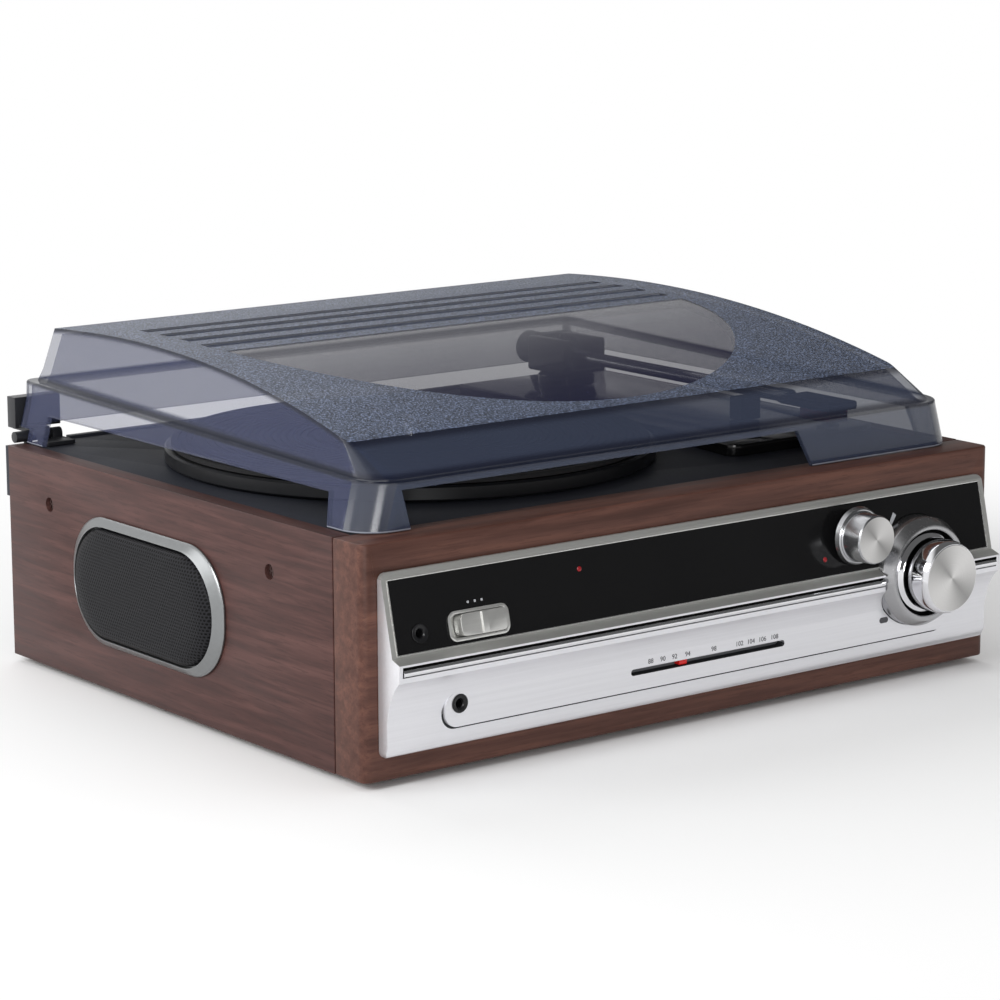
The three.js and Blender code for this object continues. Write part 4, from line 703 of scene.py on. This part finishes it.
platterProfile = [(84, 103), (84, 99), (85.6, 99), (85.6, 102.4), (107, 102.4), (107, 98.6)]
platterProfile += [(110.1, 98.6), (110.5, 99.2), (110.5, 104.1), (109.7, 104.9), (4.1, 104.9)]
platter = turned("platterDisc", platterProfile, platterCentre, "z", 144)
platterPaint = brushed("platterPaint", paint(26, 27, 30), 0.3, (200, 200, 900), 0.3)
fitted(platter, platterPaint, "gloss_black", "platter", body="platter")


def matProfile():
    # rings moulded in the mat, with a wider channel at the two main ones
    top, floor = 107.2, 106.7
    points = [(4.1, 105.2), (107.5, 105.2), (107.5, 106.9), (107.2, top)]
    radius = 104.5
    while radius > 18:
        wide = 3 if abs(radius - 93.5) < 2 or abs(radius - 47.5) < 2 else 1.1
        points += [(radius, top), (radius - 0.2, floor), (radius - wide + 0.2, floor), (radius - wide, top)]
        radius -= wide + 2.2
    return points + [(12, top), (10.5, 106.8), (4.1, 106.8)]


mat = turned("platterMat", matProfile(), platterCentre, "z", 144)
fitted(mat, rubber, "foot_rubber", "platter_mat", body="platter")
spindleProfile = [(3.5, 90), (3.5, 115.4), (3.1, 116.8), (2.2, 117.8), (1.2, 118.2), (0.3, 118.2)]
spindle = turned("spindlePin", spindleProfile, platterCentre, "z", 32)
chrome = chromeFinish()
fitted(spindle, chrome, "chrome", "spindle", body="platter")

refined("tonearm_plinth", "armPlinth", glossBlack, "gloss_black", 0.9)
armBaseProfile = [(13, 103.1), (14, 103.4), (14, 107.6), (12.8, 108.8), (12, 109.1)]
armBase = turned("armBase", armBaseProfile, at(*armCentre, 0), "z", 64)
fitted(armBase, glossBlack, "gloss_black", "tonearm_base")
refined("tonearm_yoke", "armYoke", glossBlack, "gloss_black", 1.4, 4, body="arm_yoke")
armMetal = brushed("armMetal", paint(200, 201, 204), 0.22, (900, 60, 900), 1)
tubeProfile = [(2.6, 67.3), (3.5, 68), (3.5, 75), (3.1, 75.6)]
tubeProfile += [(3.1, 214), (3.5, 215), (3.5, 252.8), (3, 253.3)]
tube = turned("armTube", tubeProfile, at(armCentre[0], 0, armHeight), "y", 40)
pin = turned("armPin", [(2, -6.7), (2, 6.7)], at(*armCentre, armHeight), "x", 24)
combined(tube, "UNION", pin)
fitted(tidied(tube), armMetal, "spun_metal", "tonearm_tube", body="arm")
weightProfile = [(3.8, 248.3), (7.4, 248.3), (8, 248.9), (8, 252), (7.5, 252.4), (7.5, 253.4), (8, 253.8)]
weightProfile += [(8, 263.5), (7.3, 264.3), (4.4, 264.3), (3.8, 263.6)]
weight = turned("counterweightBody", weightProfile, at(armCentre[0], 0, armHeight), "y", 48)
fitted(weight, blackPlastic, "black_plastic", "counterweight", body="arm")
refined("headshell", "headShell", blackPlastic, "black_plastic", 1.3, 4, body="arm")
cartridgeRed = moulded("redCartridge", paint(150, 34, 34), 0.35, 0.1)
refined("cartridge", "cartridgeBody", cartridgeRed, "red_plastic", 0.5, 2, body="arm")
refined("tonearm_rest", "armRest", blackPlastic, "black_plastic", 0.7)
silverPlastic = brushed("silverPlastic", paint(225, 225, 222), 0.3, (60, 900, 900), 0.8, 0.05)
refined("speed_selector", "speedSlider", silverPlastic, "silver_plastic", 0.5, body="speed")
print("turntable built")

# fascia
fascia = {
    "half": 168, "low": 10, "high": 86, "cornerRadius": 3.2, "edge": 0.5,
    "panelFoot": (-10, 52.6), "panelHalf": 166.2, "panelGap": 0.4,
    "panelLength": math.hypot(7.4, 31.8), "panelTilt": math.atan2(7.4, 31.8),
}
volumePlace, tuningPlace, headphonePlace = (122, 48.8), (83.7, 69.7), (-133.2, 28.8)
# places on the slope: x and the way up from its lower edge
auxPlace, powerLampPlace, stereoLampPlace = (-153, 8.4), (-68.7, 22.9), (66.7, 8.5)


def onFront(place):
    return at(place[0], 0, place[1])


volumeCentre, tuningCentre = onFront(volumePlace), onFront(tuningPlace)


def mouldingOutline():
    # the panel's slope, the lip, the cove below it and the lower face
    low, high = fascia["low"], fascia["high"]
    slope = [(-0.3, high), (-1.6, high), (-2.6, 84.4), (-10, 52.6), (-15, 50.8)]
    cove = curvePoints([(-14.6, 43.4), (-9.4, 39), (-7.6, 33), (-6.3, 26)], 20)
    return slope + cove + [(-6.3, 15), (-4.6, 11.2), (-1.6, low), (-0.3, low)]


def onSlope(along, out):
    # a point of the panel's slope: along it from its lower edge, and out from it
    tilt = fascia["panelTilt"]
    y = fascia["panelFoot"][0] + math.sin(tilt) * along - math.cos(tilt) * out
    z = fascia["panelFoot"][1] + math.cos(tilt) * along + math.sin(tilt) * out
    return (y, z)


def slopeSlab(name, inset, depth, proud):
    # a slab in the slope: inset from its edges, so deep, and standing proud of it
    half, top = fascia["panelHalf"] - inset, fascia["panelLength"] - inset - fascia["panelGap"]
    outline = [onSlope(inset, proud), onSlope(inset, -depth), onSlope(top, -depth), onSlope(top, proud)]
    return drawn(name, outline, "x", -half, half)


def leaned(piece):
    # takes a piece drawn upright at the origin of the slope to its place on the slope
    foot = at(0, *fascia["panelFoot"])
    lean = Matrix.Rotation(-fascia["panelTilt"], 4, "X")
    piece.data.transform(Matrix.Translation(foot) @ lean @ Matrix.Translation(-at(0, 0, 0)))
    return piece


def roundHole(place, radius):
    return turned("hole", [(radius, 4), (radius, -20)], onFront(place), "y", 64)


def slopeHole(place, radius):
    return leaned(turned("hole", [(radius, 6), (radius, -3)], onFront(place), "y", 40))


selector = {"x": -123.5, "along": 8.6, "width": 30.6, "height": 12.4, "corner": 3.6}


def selectorHole():
    # a little smaller than the plate, so that no gap shows round it
    x, along = selector["x"], selector["along"]
    low = (x - selector["width"] / 2 + 0.7, along - selector["height"] / 2 + 0.7)
    high = (x + selector["width"] / 2 - 0.7, along + selector["height"] / 2 - 0.7)
    return leaned(drawn("hole", ringPoints(low, high, selector["corner"] - 0.4), "y", 6, -3))


def panelHoles():
    # what goes through both the moulding and the panel
    holes = [roundHole(tuningPlace, 3.3), selectorHole(), slopeHole(auxPlace, 3.7)]
    return holes + [slopeHole(powerLampPlace, 1.2), slopeHole(stereoLampPlace, 1.2)]


half = fascia["half"]
moulding = drawn("fasciaMoulding", mouldingOutline(), "x", -half, half)
frontOutline = ringPoints((-half, fascia["low"]), (half, fascia["high"]), fascia["cornerRadius"], 12)
combined(moulding, "INTERSECT", drawn("front", frontOutline, "y", -18, 3))
combined(moulding, "DIFFERENCE", roundHole(volumePlace, 25.1))
padOutline = ringPoints((-140.5, 19.2), (141, 33.4), 6, 12)
pad = drawn("pad", padOutline, "y", -8.1, -4.5)
combined(pad, "DIFFERENCE", roundHole(volumePlace, 25.15))
combined(moulding, "UNION", pad)
rounded(moulding, fascia["edge"], 3, 34)
groove = drawn("groove", ringPoints((-141.2, 18.1), (141.7, 32.4), 6.6, 12), "y", -6.9, -5.8)
combined(groove, "DIFFERENCE", drawn("inside", padOutline, "y", -9, -5))
hollow = block("hollow", (-165, -3.3, 13), (165, 2, 83))
pocket = slopeSlab("pocket", 0.6, 2, 2)
channel = block("channel", (-166.3, -17, 45.5), (166.3, -13.2, 49.9))
dialSlot = rounded(block("slot", (-43.3, -10, 25.7), (43.3, -1.3, 28.5)), 1.3, 5)
recesses = [groove, hollow, pocket, channel, dialSlot, roundHole(headphonePlace, 3.7)]
combined(moulding, "DIFFERENCE", *recesses, *panelHoles())
silverPaint = brushed("silverPaint", paint(236, 236, 240), 0.32, (12, 700, 700), 0.75, 0.04)
frameMetal = brushed("frameMetal", paint(176, 176, 173), 0.38, (12, 700, 700), 0.55, 0.04)
# painted shade: near black in the strip's channel and in the well round the volume knob
shadeBlack = moulded("shadeBlack", paint(16, 16, 16), 0.6, specular=0.1)
# painted shade: dark grey in the groove round the pad
grooveShade = moulded("grooveShade", paint(52, 53, 56), 0.6, specular=0.1)


def mouldingMark(place, normal, number):
    # 0 lower face, 1 frame and ledge, 2 the strip's channel in painted shade, 3 the groove round the pad in
    # painted shade
    if 45.5 < place.z < 49.8 and place.y > -14.4 and abs(place.x) < 166.4:
        return 2
    if place.z > 49.9 and abs(place.x) < 167.9:
        return 1
    if place.z < 34 and -6.15 < place.y < -5.7 and abs(place.x) < 142 and place.z > 18:
        return 3
    return 0


mouldingFinishes = [silverPaint, frameMetal, shadeBlack, grooveShade]
fitted(marked(tidied(moulding), mouldingMark), mouldingFinishes, "silver_plastic", "fascia_bezel")

panel = rounded(slopeSlab("panelGlass", 0.9, 1.7, 0), 0.25, 2)
combined(panel, "DIFFERENCE", roundHole(volumePlace, 25.1), *panelHoles())
panelBlack = moulded("panelBlack", paint(15, 15, 16), 0.1, 0.01, specular=0.4)
fitted(tidied(panel), panelBlack, "gloss_black", "panel_plate")
rim = slopeSlab("panelRim", 0.6, 0.6, 0.25)
combined(rim, "DIFFERENCE", slopeSlab("inside", 1.15, 2, 2))
rimSilver = brushed("rimSilver", paint(225, 225, 222), 0.25, (12, 700, 700), 0.8, 0.03)
fitted(rounded(rim, 0.1, 2), rimSilver, "silver_plastic")


def stripOutline():
    # a half-round strip with a flat back
    points = [(-13.5, 45.9), (-13.5, 48.7)]
    for step in range(13):
        angle = math.radians(90 + 180 * step / 12)
        points.append((-14.6 + 0.9 * math.cos(angle), 47.3 + 1.4 * math.sin(angle)))
    return points


for word, start, end in (("left", -166, 96.6), ("right", 147.4, 166)):
    strip = drawn("chromeStrip" + word.title(), stripOutline(), "x", start, end)
    fitted(strip, chrome, "chrome", "chrome_strip_" + word)


collarProfile = [(12, -4), (24.8, -4), (24.8, -12.2), (24.5, -12.9), (21.9, -16.8), (21.4, -17), (20, -17)]
collarProfile += [(19.6, -16.6), (19.6, -12), (3.3, -12)]
collar = turned("volumeCollar", collarProfile, volumeCentre, "y", 128)
collarFinish = brushed("collarMetal", paint(178, 178, 180), 0.24, (700, 700, 700), 1, 0.05)


def collarMark(place, normal, number):
    # the well between the collar and the knob is painted black: painted shade
    reach = math.hypot(place.x - volumePlace[0], place.z - volumePlace[1])
    return int(reach < 19.9 and place.y > -16.5)


fitted(marked(collar, collarMark), [collarFinish, shadeBlack], "silver_plastic", "volume_collar")

knobProfile = [(3.3, -13.2), (17.8, -13.2), (18.2, -13.6), (18.2, -15.4), (17.6, -16), (16.9, -16.2)]
knobProfile += [(16.2, -16.9), (16.4, -20), (16.4, -27.6), (16.2, -28.6), (15.5, -30.3), (15.2, -30.7)]
knobProfile += [(15, -30.7), (14.8, -31), (0.3, -31)]
volumeKnob = turned("volumeKnob", knobProfile, volumeCentre, "y", 128)
# the volume knob's face, with painted highlight wedges
spunVolumeWithPaintedSheen = spun("spunVolumeFacePaintedSheen", volumeCentre, paint(196, 195, 194), 0.28)


def knobMark(frontPlace):
    # the flat front of a knob takes its second finish
    return lambda place, normal, number: int(normal.y < -0.9 and place.y < frontPlace)


marked(volumeKnob, knobMark(-30.8))
fitted(volumeKnob, [chrome, spunVolumeWithPaintedSheen], "chrome", "volume_knob", body="volume_control")

tuningProfile = [(3.3, -9.67), (12.7, -9.67), (13.1, -10), (12.5, -12), (11.9, -12.47), (11.5, -12.47)]
tuningProfile += [(11.1, -12.9), (11, -13.4), (10.75, -21.8), (10.55, -22.4), (10.2, -22.77), (0.3, -22.77)]
tuningKnob = turned("tuningKnob", tuningProfile, tuningCentre, "y", 96)
# the tuning knob's face, with painted highlight wedges
spunTuningWithPaintedSheen = spun("spunTuningFacePaintedSheen", tuningCentre, paint(186, 185, 184), 0.3)
satinMetal = brushed("satinMetal", paint(186, 187, 190), 0.22, (300, 900, 300), 1, 0.06)
marked(tuningKnob, knobMark(-22.6))
fitted(tuningKnob, [satinMetal, spunTuningWithPaintedSheen], "spun_metal", "tuning_knob", body="tuning_control")

dialGrey = moulded("dialGrey", paint(112, 114, 118), 0.5, 0.1)
refined("dial_backing", "dialBacking", dialGrey, "dial_grey", 0.3, 2)
# painted light: the dial pointer's red plastic glows faintly, though it is no lamp
glow = {"Emission_Color": paint(205, 26, 26), "Emission_Strength": 0.15}
redPlasticPaintedGlow = moulded("redPlasticPaintedGlow", paint(205, 26, 26), 0.3, 0.05, **glow)
lampRed = moulded("lampRed", paint(140, 16, 24), 0.25, 0.02)
refined("dial_pointer", "dialPointer", redPlasticPaintedGlow, "red_plastic", 0.4, body="pointer")


def socketPiece(name, front, back, centre):
    profile = [(3.4, back), (3.4, front + 0.6), (3.8, front + 0.45), (4, front + 0.2), (3.8, front)]
    profile += [(3.1, front), (2.2, front + 0.3), (1.8, front + 0.9), (1.8, back - 1)]
    return turned(name, profile, centre, "y", 48)


socketBlack = moulded("socketBlack", paint(22, 22, 24), 0.25, 0.05, specular=0.3)
headphoneSocket = socketPiece("headphoneSocket", -8.5, 6.5, onFront(headphonePlace))
fitted(headphoneSocket, socketBlack, "black_plastic", "headphone_socket")
auxSocket = leaned(socketPiece("auxSocket", -0.6, 10, onFront(auxPlace)))
fitted(auxSocket, socketBlack, "black_plastic", "aux_socket")
for name, place in (("power_lamp", powerLampPlace), ("stereo_lamp", stereoLampPlace)):
    profile = [(1.1, 3.6), (1.1, 0), (0.95, -0.25), (0.5, -0.42), (0.2, -0.45)]
    lamp = leaned(turned(name.replace("_l", "L"), profile, onFront(place), "y", 32))
    fitted(lamp, lampRed, "red_plastic", name)

refined("selector_plate", "selectorPlate", silverPlastic, "silver_plastic", 0.25, 2, 40)
refined("selector_slider", "selectorSlider", silverPlastic, "silver_plastic", 0.45, 3, 40, body="selector")
print("fascia built")

# numbers and marks
printInk = moulded("printInk", paint(70, 70, 74), 0.6, 0.02)
dialNumbers = [("88", -32.6), ("90", -25.9), ("92", -19.4), ("94", -12.1), ("98", 2.6)]
dialNumbers += [("102", 17.2), ("104", 23.8), ("106", 30.4), ("108", 37.4)]


def writtenNumber(words, x, z, size):
    nothingSelected()
    bpy.ops.object.text_add(location=at(x, -8.12, z), rotation=(math.pi / 2, 0, 0))
    writing = bpy.context.active_object.data
    writing.body = words
    writing.size = size * mm
    writing.align_x = writing.align_y = "CENTER"
    writing.extrude = 0.06 * mm
    writing.resolution_u = 3
    bpy.ops.object.convert(target="MESH")
    return placedMesh("dialNumber" + words)


written = [writtenNumber(words, x, 30.6, 3) for words, x in dialNumbers]
makeActive(written[0])
for number in written:
    number.select_set(True)
bpy.ops.object.join()
written[0].name = "dialNumbers"
fitted(tidied(written[0]), printInk, "dial_grey")
pill = drawn("markPill", ringPoints((100.2, 27.1), (105.4, 29.7), 1.25, 8), "y", -8.25, -8)
fitted(rounded(pill, 0.08, 2), printInk, "dial_grey")

markInk = moulded("markInk", paint(168, 170, 174), 0.5, 0.02)
wedgeOutline = [(106.2, 17.6), (107, 16.6), (112.2, 22.4), (110.6, 23.8)]
wedge = leaned(drawn("volumeWedge", wedgeOutline, "y", -0.1, 0.1))
fitted(wedge, markInk, "silver_plastic")
dots = drawn("selectorDots", ringPoints((-124.4, 17), (-123.4, 18), 0.3, 4), "y", -0.05, 0.1)
for x in (-127.4, -120.4):
    dot = drawn("dot", ringPoints((x - 0.5, 17), (x + 0.5, 18), 0.3, 4), "y", -0.05, 0.1)
    combined(dots, "UNION", dot)
fitted(leaned(dots), markInk, "silver_plastic")
print("numbers and marks built")

# speakers
speaker = {"side": 175, "y": 160.6, "z": 49, "length": 61.2, "height": 28.9, "corner": 26.9}
bezelFinish = brushed("bezelMetal", paint(142, 144, 145), 0.3, (500, 500, 500), 0.9, 0.05)


def oval(length, height, corner=math.inf):
    # half its length and height; without a corner's radius its ends are half circles
    low = (speaker["y"] - length, speaker["z"] - height)
    high = (speaker["y"] + length, speaker["z"] + height)
    return ringPoints(low, high, min(corner, height) - 0.02, 16)


def bezelLevels():
    # rounded rim between the board and the mesh
    side, length, height, corner = (speaker[word] for word in ("side", "length", "height", "corner"))
    outer = [(0, 0.3), (0, 1), (0.25, 1.35)]
    levels = [(oval(length - i, height - i, corner - i), side + reach) for i, reach in outer]
    levels += [(oval(60, 28.1, corner), 176.9), (oval(57.6, 26.4), 178.3), (oval(56.7, 25.75), 178.85)]
    levels += [(oval(56.35, 25.5), 178.95), (oval(56.2, 25.4), 178.7), (oval(56.2, 25.4), 175.6)]
    return levels


def grilleLevels():
    # a flat rim and a shallow dome
    length, height = 55.6, 24.8
    steps = [(1, 0.3), (1, 2.2), (0.985, 3.8), (0.965, 4.8), (0.935, 5.7), (0.89, 6.35), (0.82, 6.75)]
    steps += [(0.72, 7), (0.5, 7.1), (0.25, 7.15), (0.05, 7.15)]
    return [(oval(length * share, height * share), speaker["side"] + reach) for share, reach in steps]


bezel = stacked("rightSpeakerBezel", bezelLevels(), "x")
grille = stacked("rightSpeakerMesh", grilleLevels(), "x")
leftBezel = mirrored(bezel, "leftSpeakerBezel")
leftGrille = mirrored(grille, "leftSpeakerMesh")
meshFinish = woven("speakerMesh", at(0, speaker["y"], speaker["z"]))
for word, rim, mesh in (("right", bezel, grille), ("left", leftBezel, leftGrille)):
    fitted(rim, bezelFinish, "silver_plastic", word + "_speaker_bezel")
    fitted(mesh, meshFinish, "speaker_mesh", word + "_speaker_grille")
print("speakers built")

# dust cover
cover = {
    "half": 161, "flare": 5.5, "front": 11.5, "back": 290, "foot": 98.3, "wall": 2.5,
    "ledgeFront": 119, "ledgeBack": 126, "ledgeCorner": 17, "footCorner": 16, "backCorner": 6,
    "creaseY": 39, "creaseZ": 131.4, "crownFoot": 112.2, "crownInset": 2.5,
    "topEdge": 1.2, "ledgeEdge": 0.9,
}
# ribs: the first one's front, their pitch, length and half width, and how deep they are cut
ribs = {"start": 174.4, "pitch": 17, "length": 8.5, "half": 132, "corner": 1.2, "depth": 1, "count": 4}
window = {"x": 0.9, "y": 176.2, "radius": 131.3, "chord": 165.4, "depth": 0.4}
# corners of the curve of the top line, evenly spaced in y
coverLine = [(cover["creaseY"], cover["creaseZ"]), (118, 152.2), (197, 155.9), (276, 150.3)]
# painted shade in dark bands along the ledge and the upper lines: where they are full and where they end
paintedCoverShade = {"full": 0.7, "end": 3.2, "ledgeShare": 1.3, "colour": paint(24, 29, 46), "alpha": 0.9}


def lineBetween(y, y0, z0, y1, z1):
    return (y - y0) * ((z1 - z0) / (y1 - y0)) + z0


def creaseLine(y):
    return cover["creaseZ"]


def topCurve(y):
    # the top line and the front slope below it
    share = (y - coverLine[0][0]) * (1 / (coverLine[3][0] - coverLine[0][0]))
    z0, z1, z2, z3 = (corner[1] for corner in coverLine)
    cubic = (share * (z3 - 3 * z2 + 3 * z1 - z0) + 3 * (z0 - 2 * z1 + z2)) * share + 3 * (z1 - z0)
    slopeFoot = (cover["front"] + cover["crownInset"], cover["ledgeFront"])
    return (cubic * share + z0).maths("MINIMUM", lineBetween(y, *slopeFoot, *coverLine[0]))


def smoked(name, colour, alpha, roughness, shine, upperLine=None):
    # see-through plastic: a clear body with a faint unevenness of tone, and with a painted dark band of
    # shade along the ledge and the upper line, standing for the darker look along the thickness of the wall
    finish = Finish(name, colour, roughness, IOR=1.49, specular=shine)
    tone = finish.noise(finish.place, 9, 2)
    body = finish.mix(tone, shaded(colour, 0.85), colour)
    opacity = (alpha - 0.03) + tone * 0.06
    if upperLine:
        _, y, z = partsOf(finish.placeFrom(cabinetOrigin))
        y, z = y * 1000, z * 1000
        ends = (cover["front"], cover["ledgeFront"], cover["back"], cover["ledgeBack"])
        toUpper = (upperLine(y) - z).maths("ABSOLUTE")
        toLedge = (z - lineBetween(y, *ends)).maths("ABSOLUTE")
        # painted shade: darker and more opaque near the ledge and the upper line
        near = toUpper.maths("MINIMUM", toLedge * paintedCoverShade["ledgeShare"])
        paintedShadeBand = eased(near, paintedCoverShade["full"], paintedCoverShade["end"], 1, 0)
        body = finish.mix(paintedShadeBand, body, paintedCoverShade["colour"])
        opacity = opacity + paintedShadeBand * (paintedCoverShade["alpha"] - alpha)
    finish.set("Base Color", body)
    finish.set("Alpha", opacity)
    return finish


def grained(name, colour, alpha):
    # the frosted top of the cover: its grain, with glints painted into its colour here and there as painted
    # highlights
    finish = smoked(name, colour, alpha, 0.42, 0.22)
    cells = finish.noise(finish.place, 1100, 2, 0.7)
    # darker grain spots, and painted glints far lighter than the colour
    grainAndPaintedGlints = finish.ramp(cells, (0.38, shaded(colour, 0.4)), (0.51, colour), (0.64, shaded(colour, 3.5)))
    finish.set("Base Color", grainAndPaintedGlints)
    finish.set("Roughness", 0.6 - cells * 0.4)
    finish.bump(cells, 1, 0.0004)
    return finish


def coverTop(drop):
    # the cover's top line from its crease to its back corner
    points = [(y, z - drop) for y, z in curvePoints(coverLine, 36)]
    lastY, lastZ = points.pop()
    return points + [(lastY - drop, lastZ)]


def skirtPlan(inset, height):
    share = max(0, (cover["ledgeFront"] - height) / (cover["ledgeFront"] - cover["foot"]))
    half = cover["half"] + cover["flare"] * share - inset
    corner = cover["ledgeCorner"] + (cover["footCorner"] - cover["ledgeCorner"]) * share - inset
    low, high = (-half, cover["front"] + inset), (half, cover["back"] - inset)
    return ringPoints(low, high, (corner, cover["backCorner"] - inset), 12)


# places for the eight finishes, which keep the faces' numbers through the cuts
coverSlots = [bpy.data.materials.new("slot" + str(number)) for number in range(8)]


def slotted(piece):
    for material in coverSlots:
        piece.data.materials.append(material)
    return piece


def coverForm(inset, bottom):
    half, front, back = cover["half"] - inset, cover["front"], cover["back"]
    heights = (bottom, 117.6, 129)
    skirt = slotted(stacked("skirt", [(skirtPlan(inset, height), height) for height in heights], "z"))
    low, ledgeFront, ledgeBack = cover["crownFoot"], cover["ledgeFront"] - inset, cover["ledgeBack"] - inset
    ledge = [(front - 2, bottom - 2), (back + 2, bottom - 2)]
    ledge += [(back + 2, ledgeBack), (front - 2, ledgeFront)]
    combined(skirt, "INTERSECT", slotted(drawn("ledge", ledge, "x", -170, 170)))
    tidied(skirt)
    if not inset:
        rounded(skirt, cover["ledgeEdge"], 3, 50, 2)
    creaseZ, crownInset = cover["creaseZ"] - inset, cover["crownInset"]
    crownFront, crownBack = front + crownInset + inset, 284 - inset
    outline = [(crownFront - 2, low), (crownBack, low), (crownBack, ledgeBack)]
    outline += list(reversed(coverTop(inset))) + [(crownFront - 2, creaseZ)]
    crown = slotted(drawn("crown", outline, "x", -half, half))
    # half the width, the front, the front corners' radius and the height of each plan
    rows = [
        (half - crownInset, crownFront, 15 - inset, low),
        (half - crownInset, crownFront, 15 - inset, ledgeFront),
        (half - 7, cover["creaseY"], 3.5, creaseZ),
        (half - 11.2, 92.6, 3.5, 158 - inset),
    ]
    plans = [(ringPoints((-x, y), (x, 300), (corner, 3), 9), z) for x, y, corner, z in rows]
    combined(crown, "INTERSECT", slotted(stacked("plan", plans, "z")))
    merged(crown, 0.15 * mm, 0.3)
    if not inset:
        rounded(crown, cover["topEdge"], 4, 26, 2)
    return combined(skirt, "UNION", crown)


def aboveTop(depth):
    # the room above the top line, less a depth, to which ribs and window are cut
    line = [(y, z - depth) for y, z in coverTop(0)]
    ends = [(coverLine[-1][0], 160), (cover["creaseY"], 160)]
    return slotted(drawn("above", line + ends, "x", -165, 165))


def coverShell():
    low = cover["foot"] - 2
    shell = coverForm(0, cover["foot"])
    hollow = coverForm(cover["wall"], low)
    sideOutline = [(36, low), (264, low), (264, cover["crownFoot"]), (40, cover["crownFoot"])]
    sideGap = drawn("gap", sideOutline, "x", -170, 170)
    frontGap = drawn("gap", [(-142, low), (78, low), (67.5, 115.2), (-147, 115.2)], "y", 9.5, 25.5)
    backGap = block("gap", (-170, 277.5, low), (170, 292, 104.7))
    combined(shell, "DIFFERENCE", hollow, slotted(sideGap), slotted(frontGap), slotted(backGap))
    for number in range(ribs["count"]):
        y = ribs["start"] + ribs["pitch"] * number
        outline = ringPoints((-ribs["half"], y), (ribs["half"], y + ribs["length"]), ribs["corner"], 4)
        rib = slotted(drawn("rib", outline, "z", cover["creaseZ"], 156))
        combined(rib, "INTERSECT", aboveTop(ribs["depth"]))
        combined(shell, "DIFFERENCE", rib)
    pane = combined(windowBlock(), "INTERSECT", aboveTop(window["depth"]))
    return combined(shell, "DIFFERENCE", pane)


def windowBlock():
    # the part of a circle that lies in front of a chord
    dip = math.asin((window["y"] - window["chord"]) / window["radius"])
    outline = []
    for step in range(97):
        angle = math.pi + dip + (math.pi - 2 * dip) * step / 96
        x = window["x"] + window["radius"] * math.cos(angle)
        outline.append((x, window["y"] + window["radius"] * math.sin(angle)))
    return slotted(drawn("window", outline, "z", 129, 156))


def topHeight(y):
    line = coverTop(0)
    for (y0, z0), (y1, z1) in zip(line, line[1:]):
        if y0 <= y <= y1:
            return z0 + (z1 - z0) * (y - y0) / (y1 - y0)
    return line[-1][1]


def coverMark(place, normal, number):
    # 0 front, 1 grained top with painted glints, 2 rounded edges in painted shade,
    # 3 side walls and back in painted light, 4 upright corners in painted shade and shiny,
    # 5 rims of the feet with a painted highlight, 6 window and the faces below the top, 7 bottoms of the
    # ribs
    if number == 2:
        return 2 if place.z > 108 else 5
    rise = place.z - topHeight(place.y)
    reach = math.hypot(place.x - window["x"], place.y - window["y"])
    if normal.z > 0.8 and place.y > cover["creaseY"] + 0.2 and -1.3 < rise < 0.3:
        return 1 if rise > -0.2 else 6 if rise > -0.65 else 7
    if abs(normal.z) < 0.3 and abs(reach - window["radius"]) < 0.2 and -0.6 < rise < 0.1:
        return 2
    if normal.z < -0.5 and place.z > 110:
        return 6
    outward = normal.x * place.x > 0
    if outward and abs(normal.x) > 0.22 and normal.y < -0.12 and place.y < 45:
        return 4
    if abs(normal.x) > 0.9 or abs(normal.y) > 0.9 and place.y > 250:
        return 3
    return 0


coverFinishes = [
    smoked("clearSmoke", paint(60, 68, 88), 0.7, 0.07, 0.35, creaseLine),
    # the top: grain with painted glints
    grained("grainedSmokePaintedGlints", paint(64, 72, 90), 0.95),
    # painted shade: the rounded edges are drawn darker than the walls
    smoked("edgeSmokePaintedShade", paint(28, 33, 48), 0.8, 0.1, 0.3),
    # painted light: the side walls and back are a lighter copy of the front's smoke
    smoked("sideSmokePaintedLight", paint(80, 86, 118), 0.33, 0.08, 0.35, topCurve),
    # painted shade: the upright front corners are a darker copy of the smoke, with more shine
    smoked("cornerSmokePaintedShade", paint(48, 54, 70), 0.85, 0.2, 0.8, creaseLine),
    # painted highlight: the rounded rims of the feet are drawn pale
    smoked("rimSmokePaintedHighlight", paint(176, 182, 196), 0.7, 0.1, 1),
    smoked("windowSmoke", paint(32, 34, 66), 0.52, 0.04, 0.5),
    smoked("ribSmoke", paint(66, 74, 96), 0.95, 0.16, 1),
]
shell = tidied(coverShell(), 24)
shell.name = "coverShell"
coverMaterials = [finish.material for finish in coverFinishes]
fitted(marked(shell, coverMark), coverMaterials, "smoked_plastic", "dust_cover", body="cover")
for material in coverSlots:
    bpy.data.materials.remove(material)
print("cover built")

# hinges
hingePlastic = moulded("hingePlastic", paint(30, 31, 35), 0.42, 0.3)
for word in ("left", "right"):
    base, leaf = word + "_hinge_base", word + "_hinge_leaf"
    refined(base, word + "HingeBase", hingePlastic, "black_plastic", 0.35, 2, 40)
    refined(leaf, word + "HingeLeaf", hingePlastic, "black_plastic", 0.7, 3, 40, body="cover")
print("hinges built")

nothingSelected()
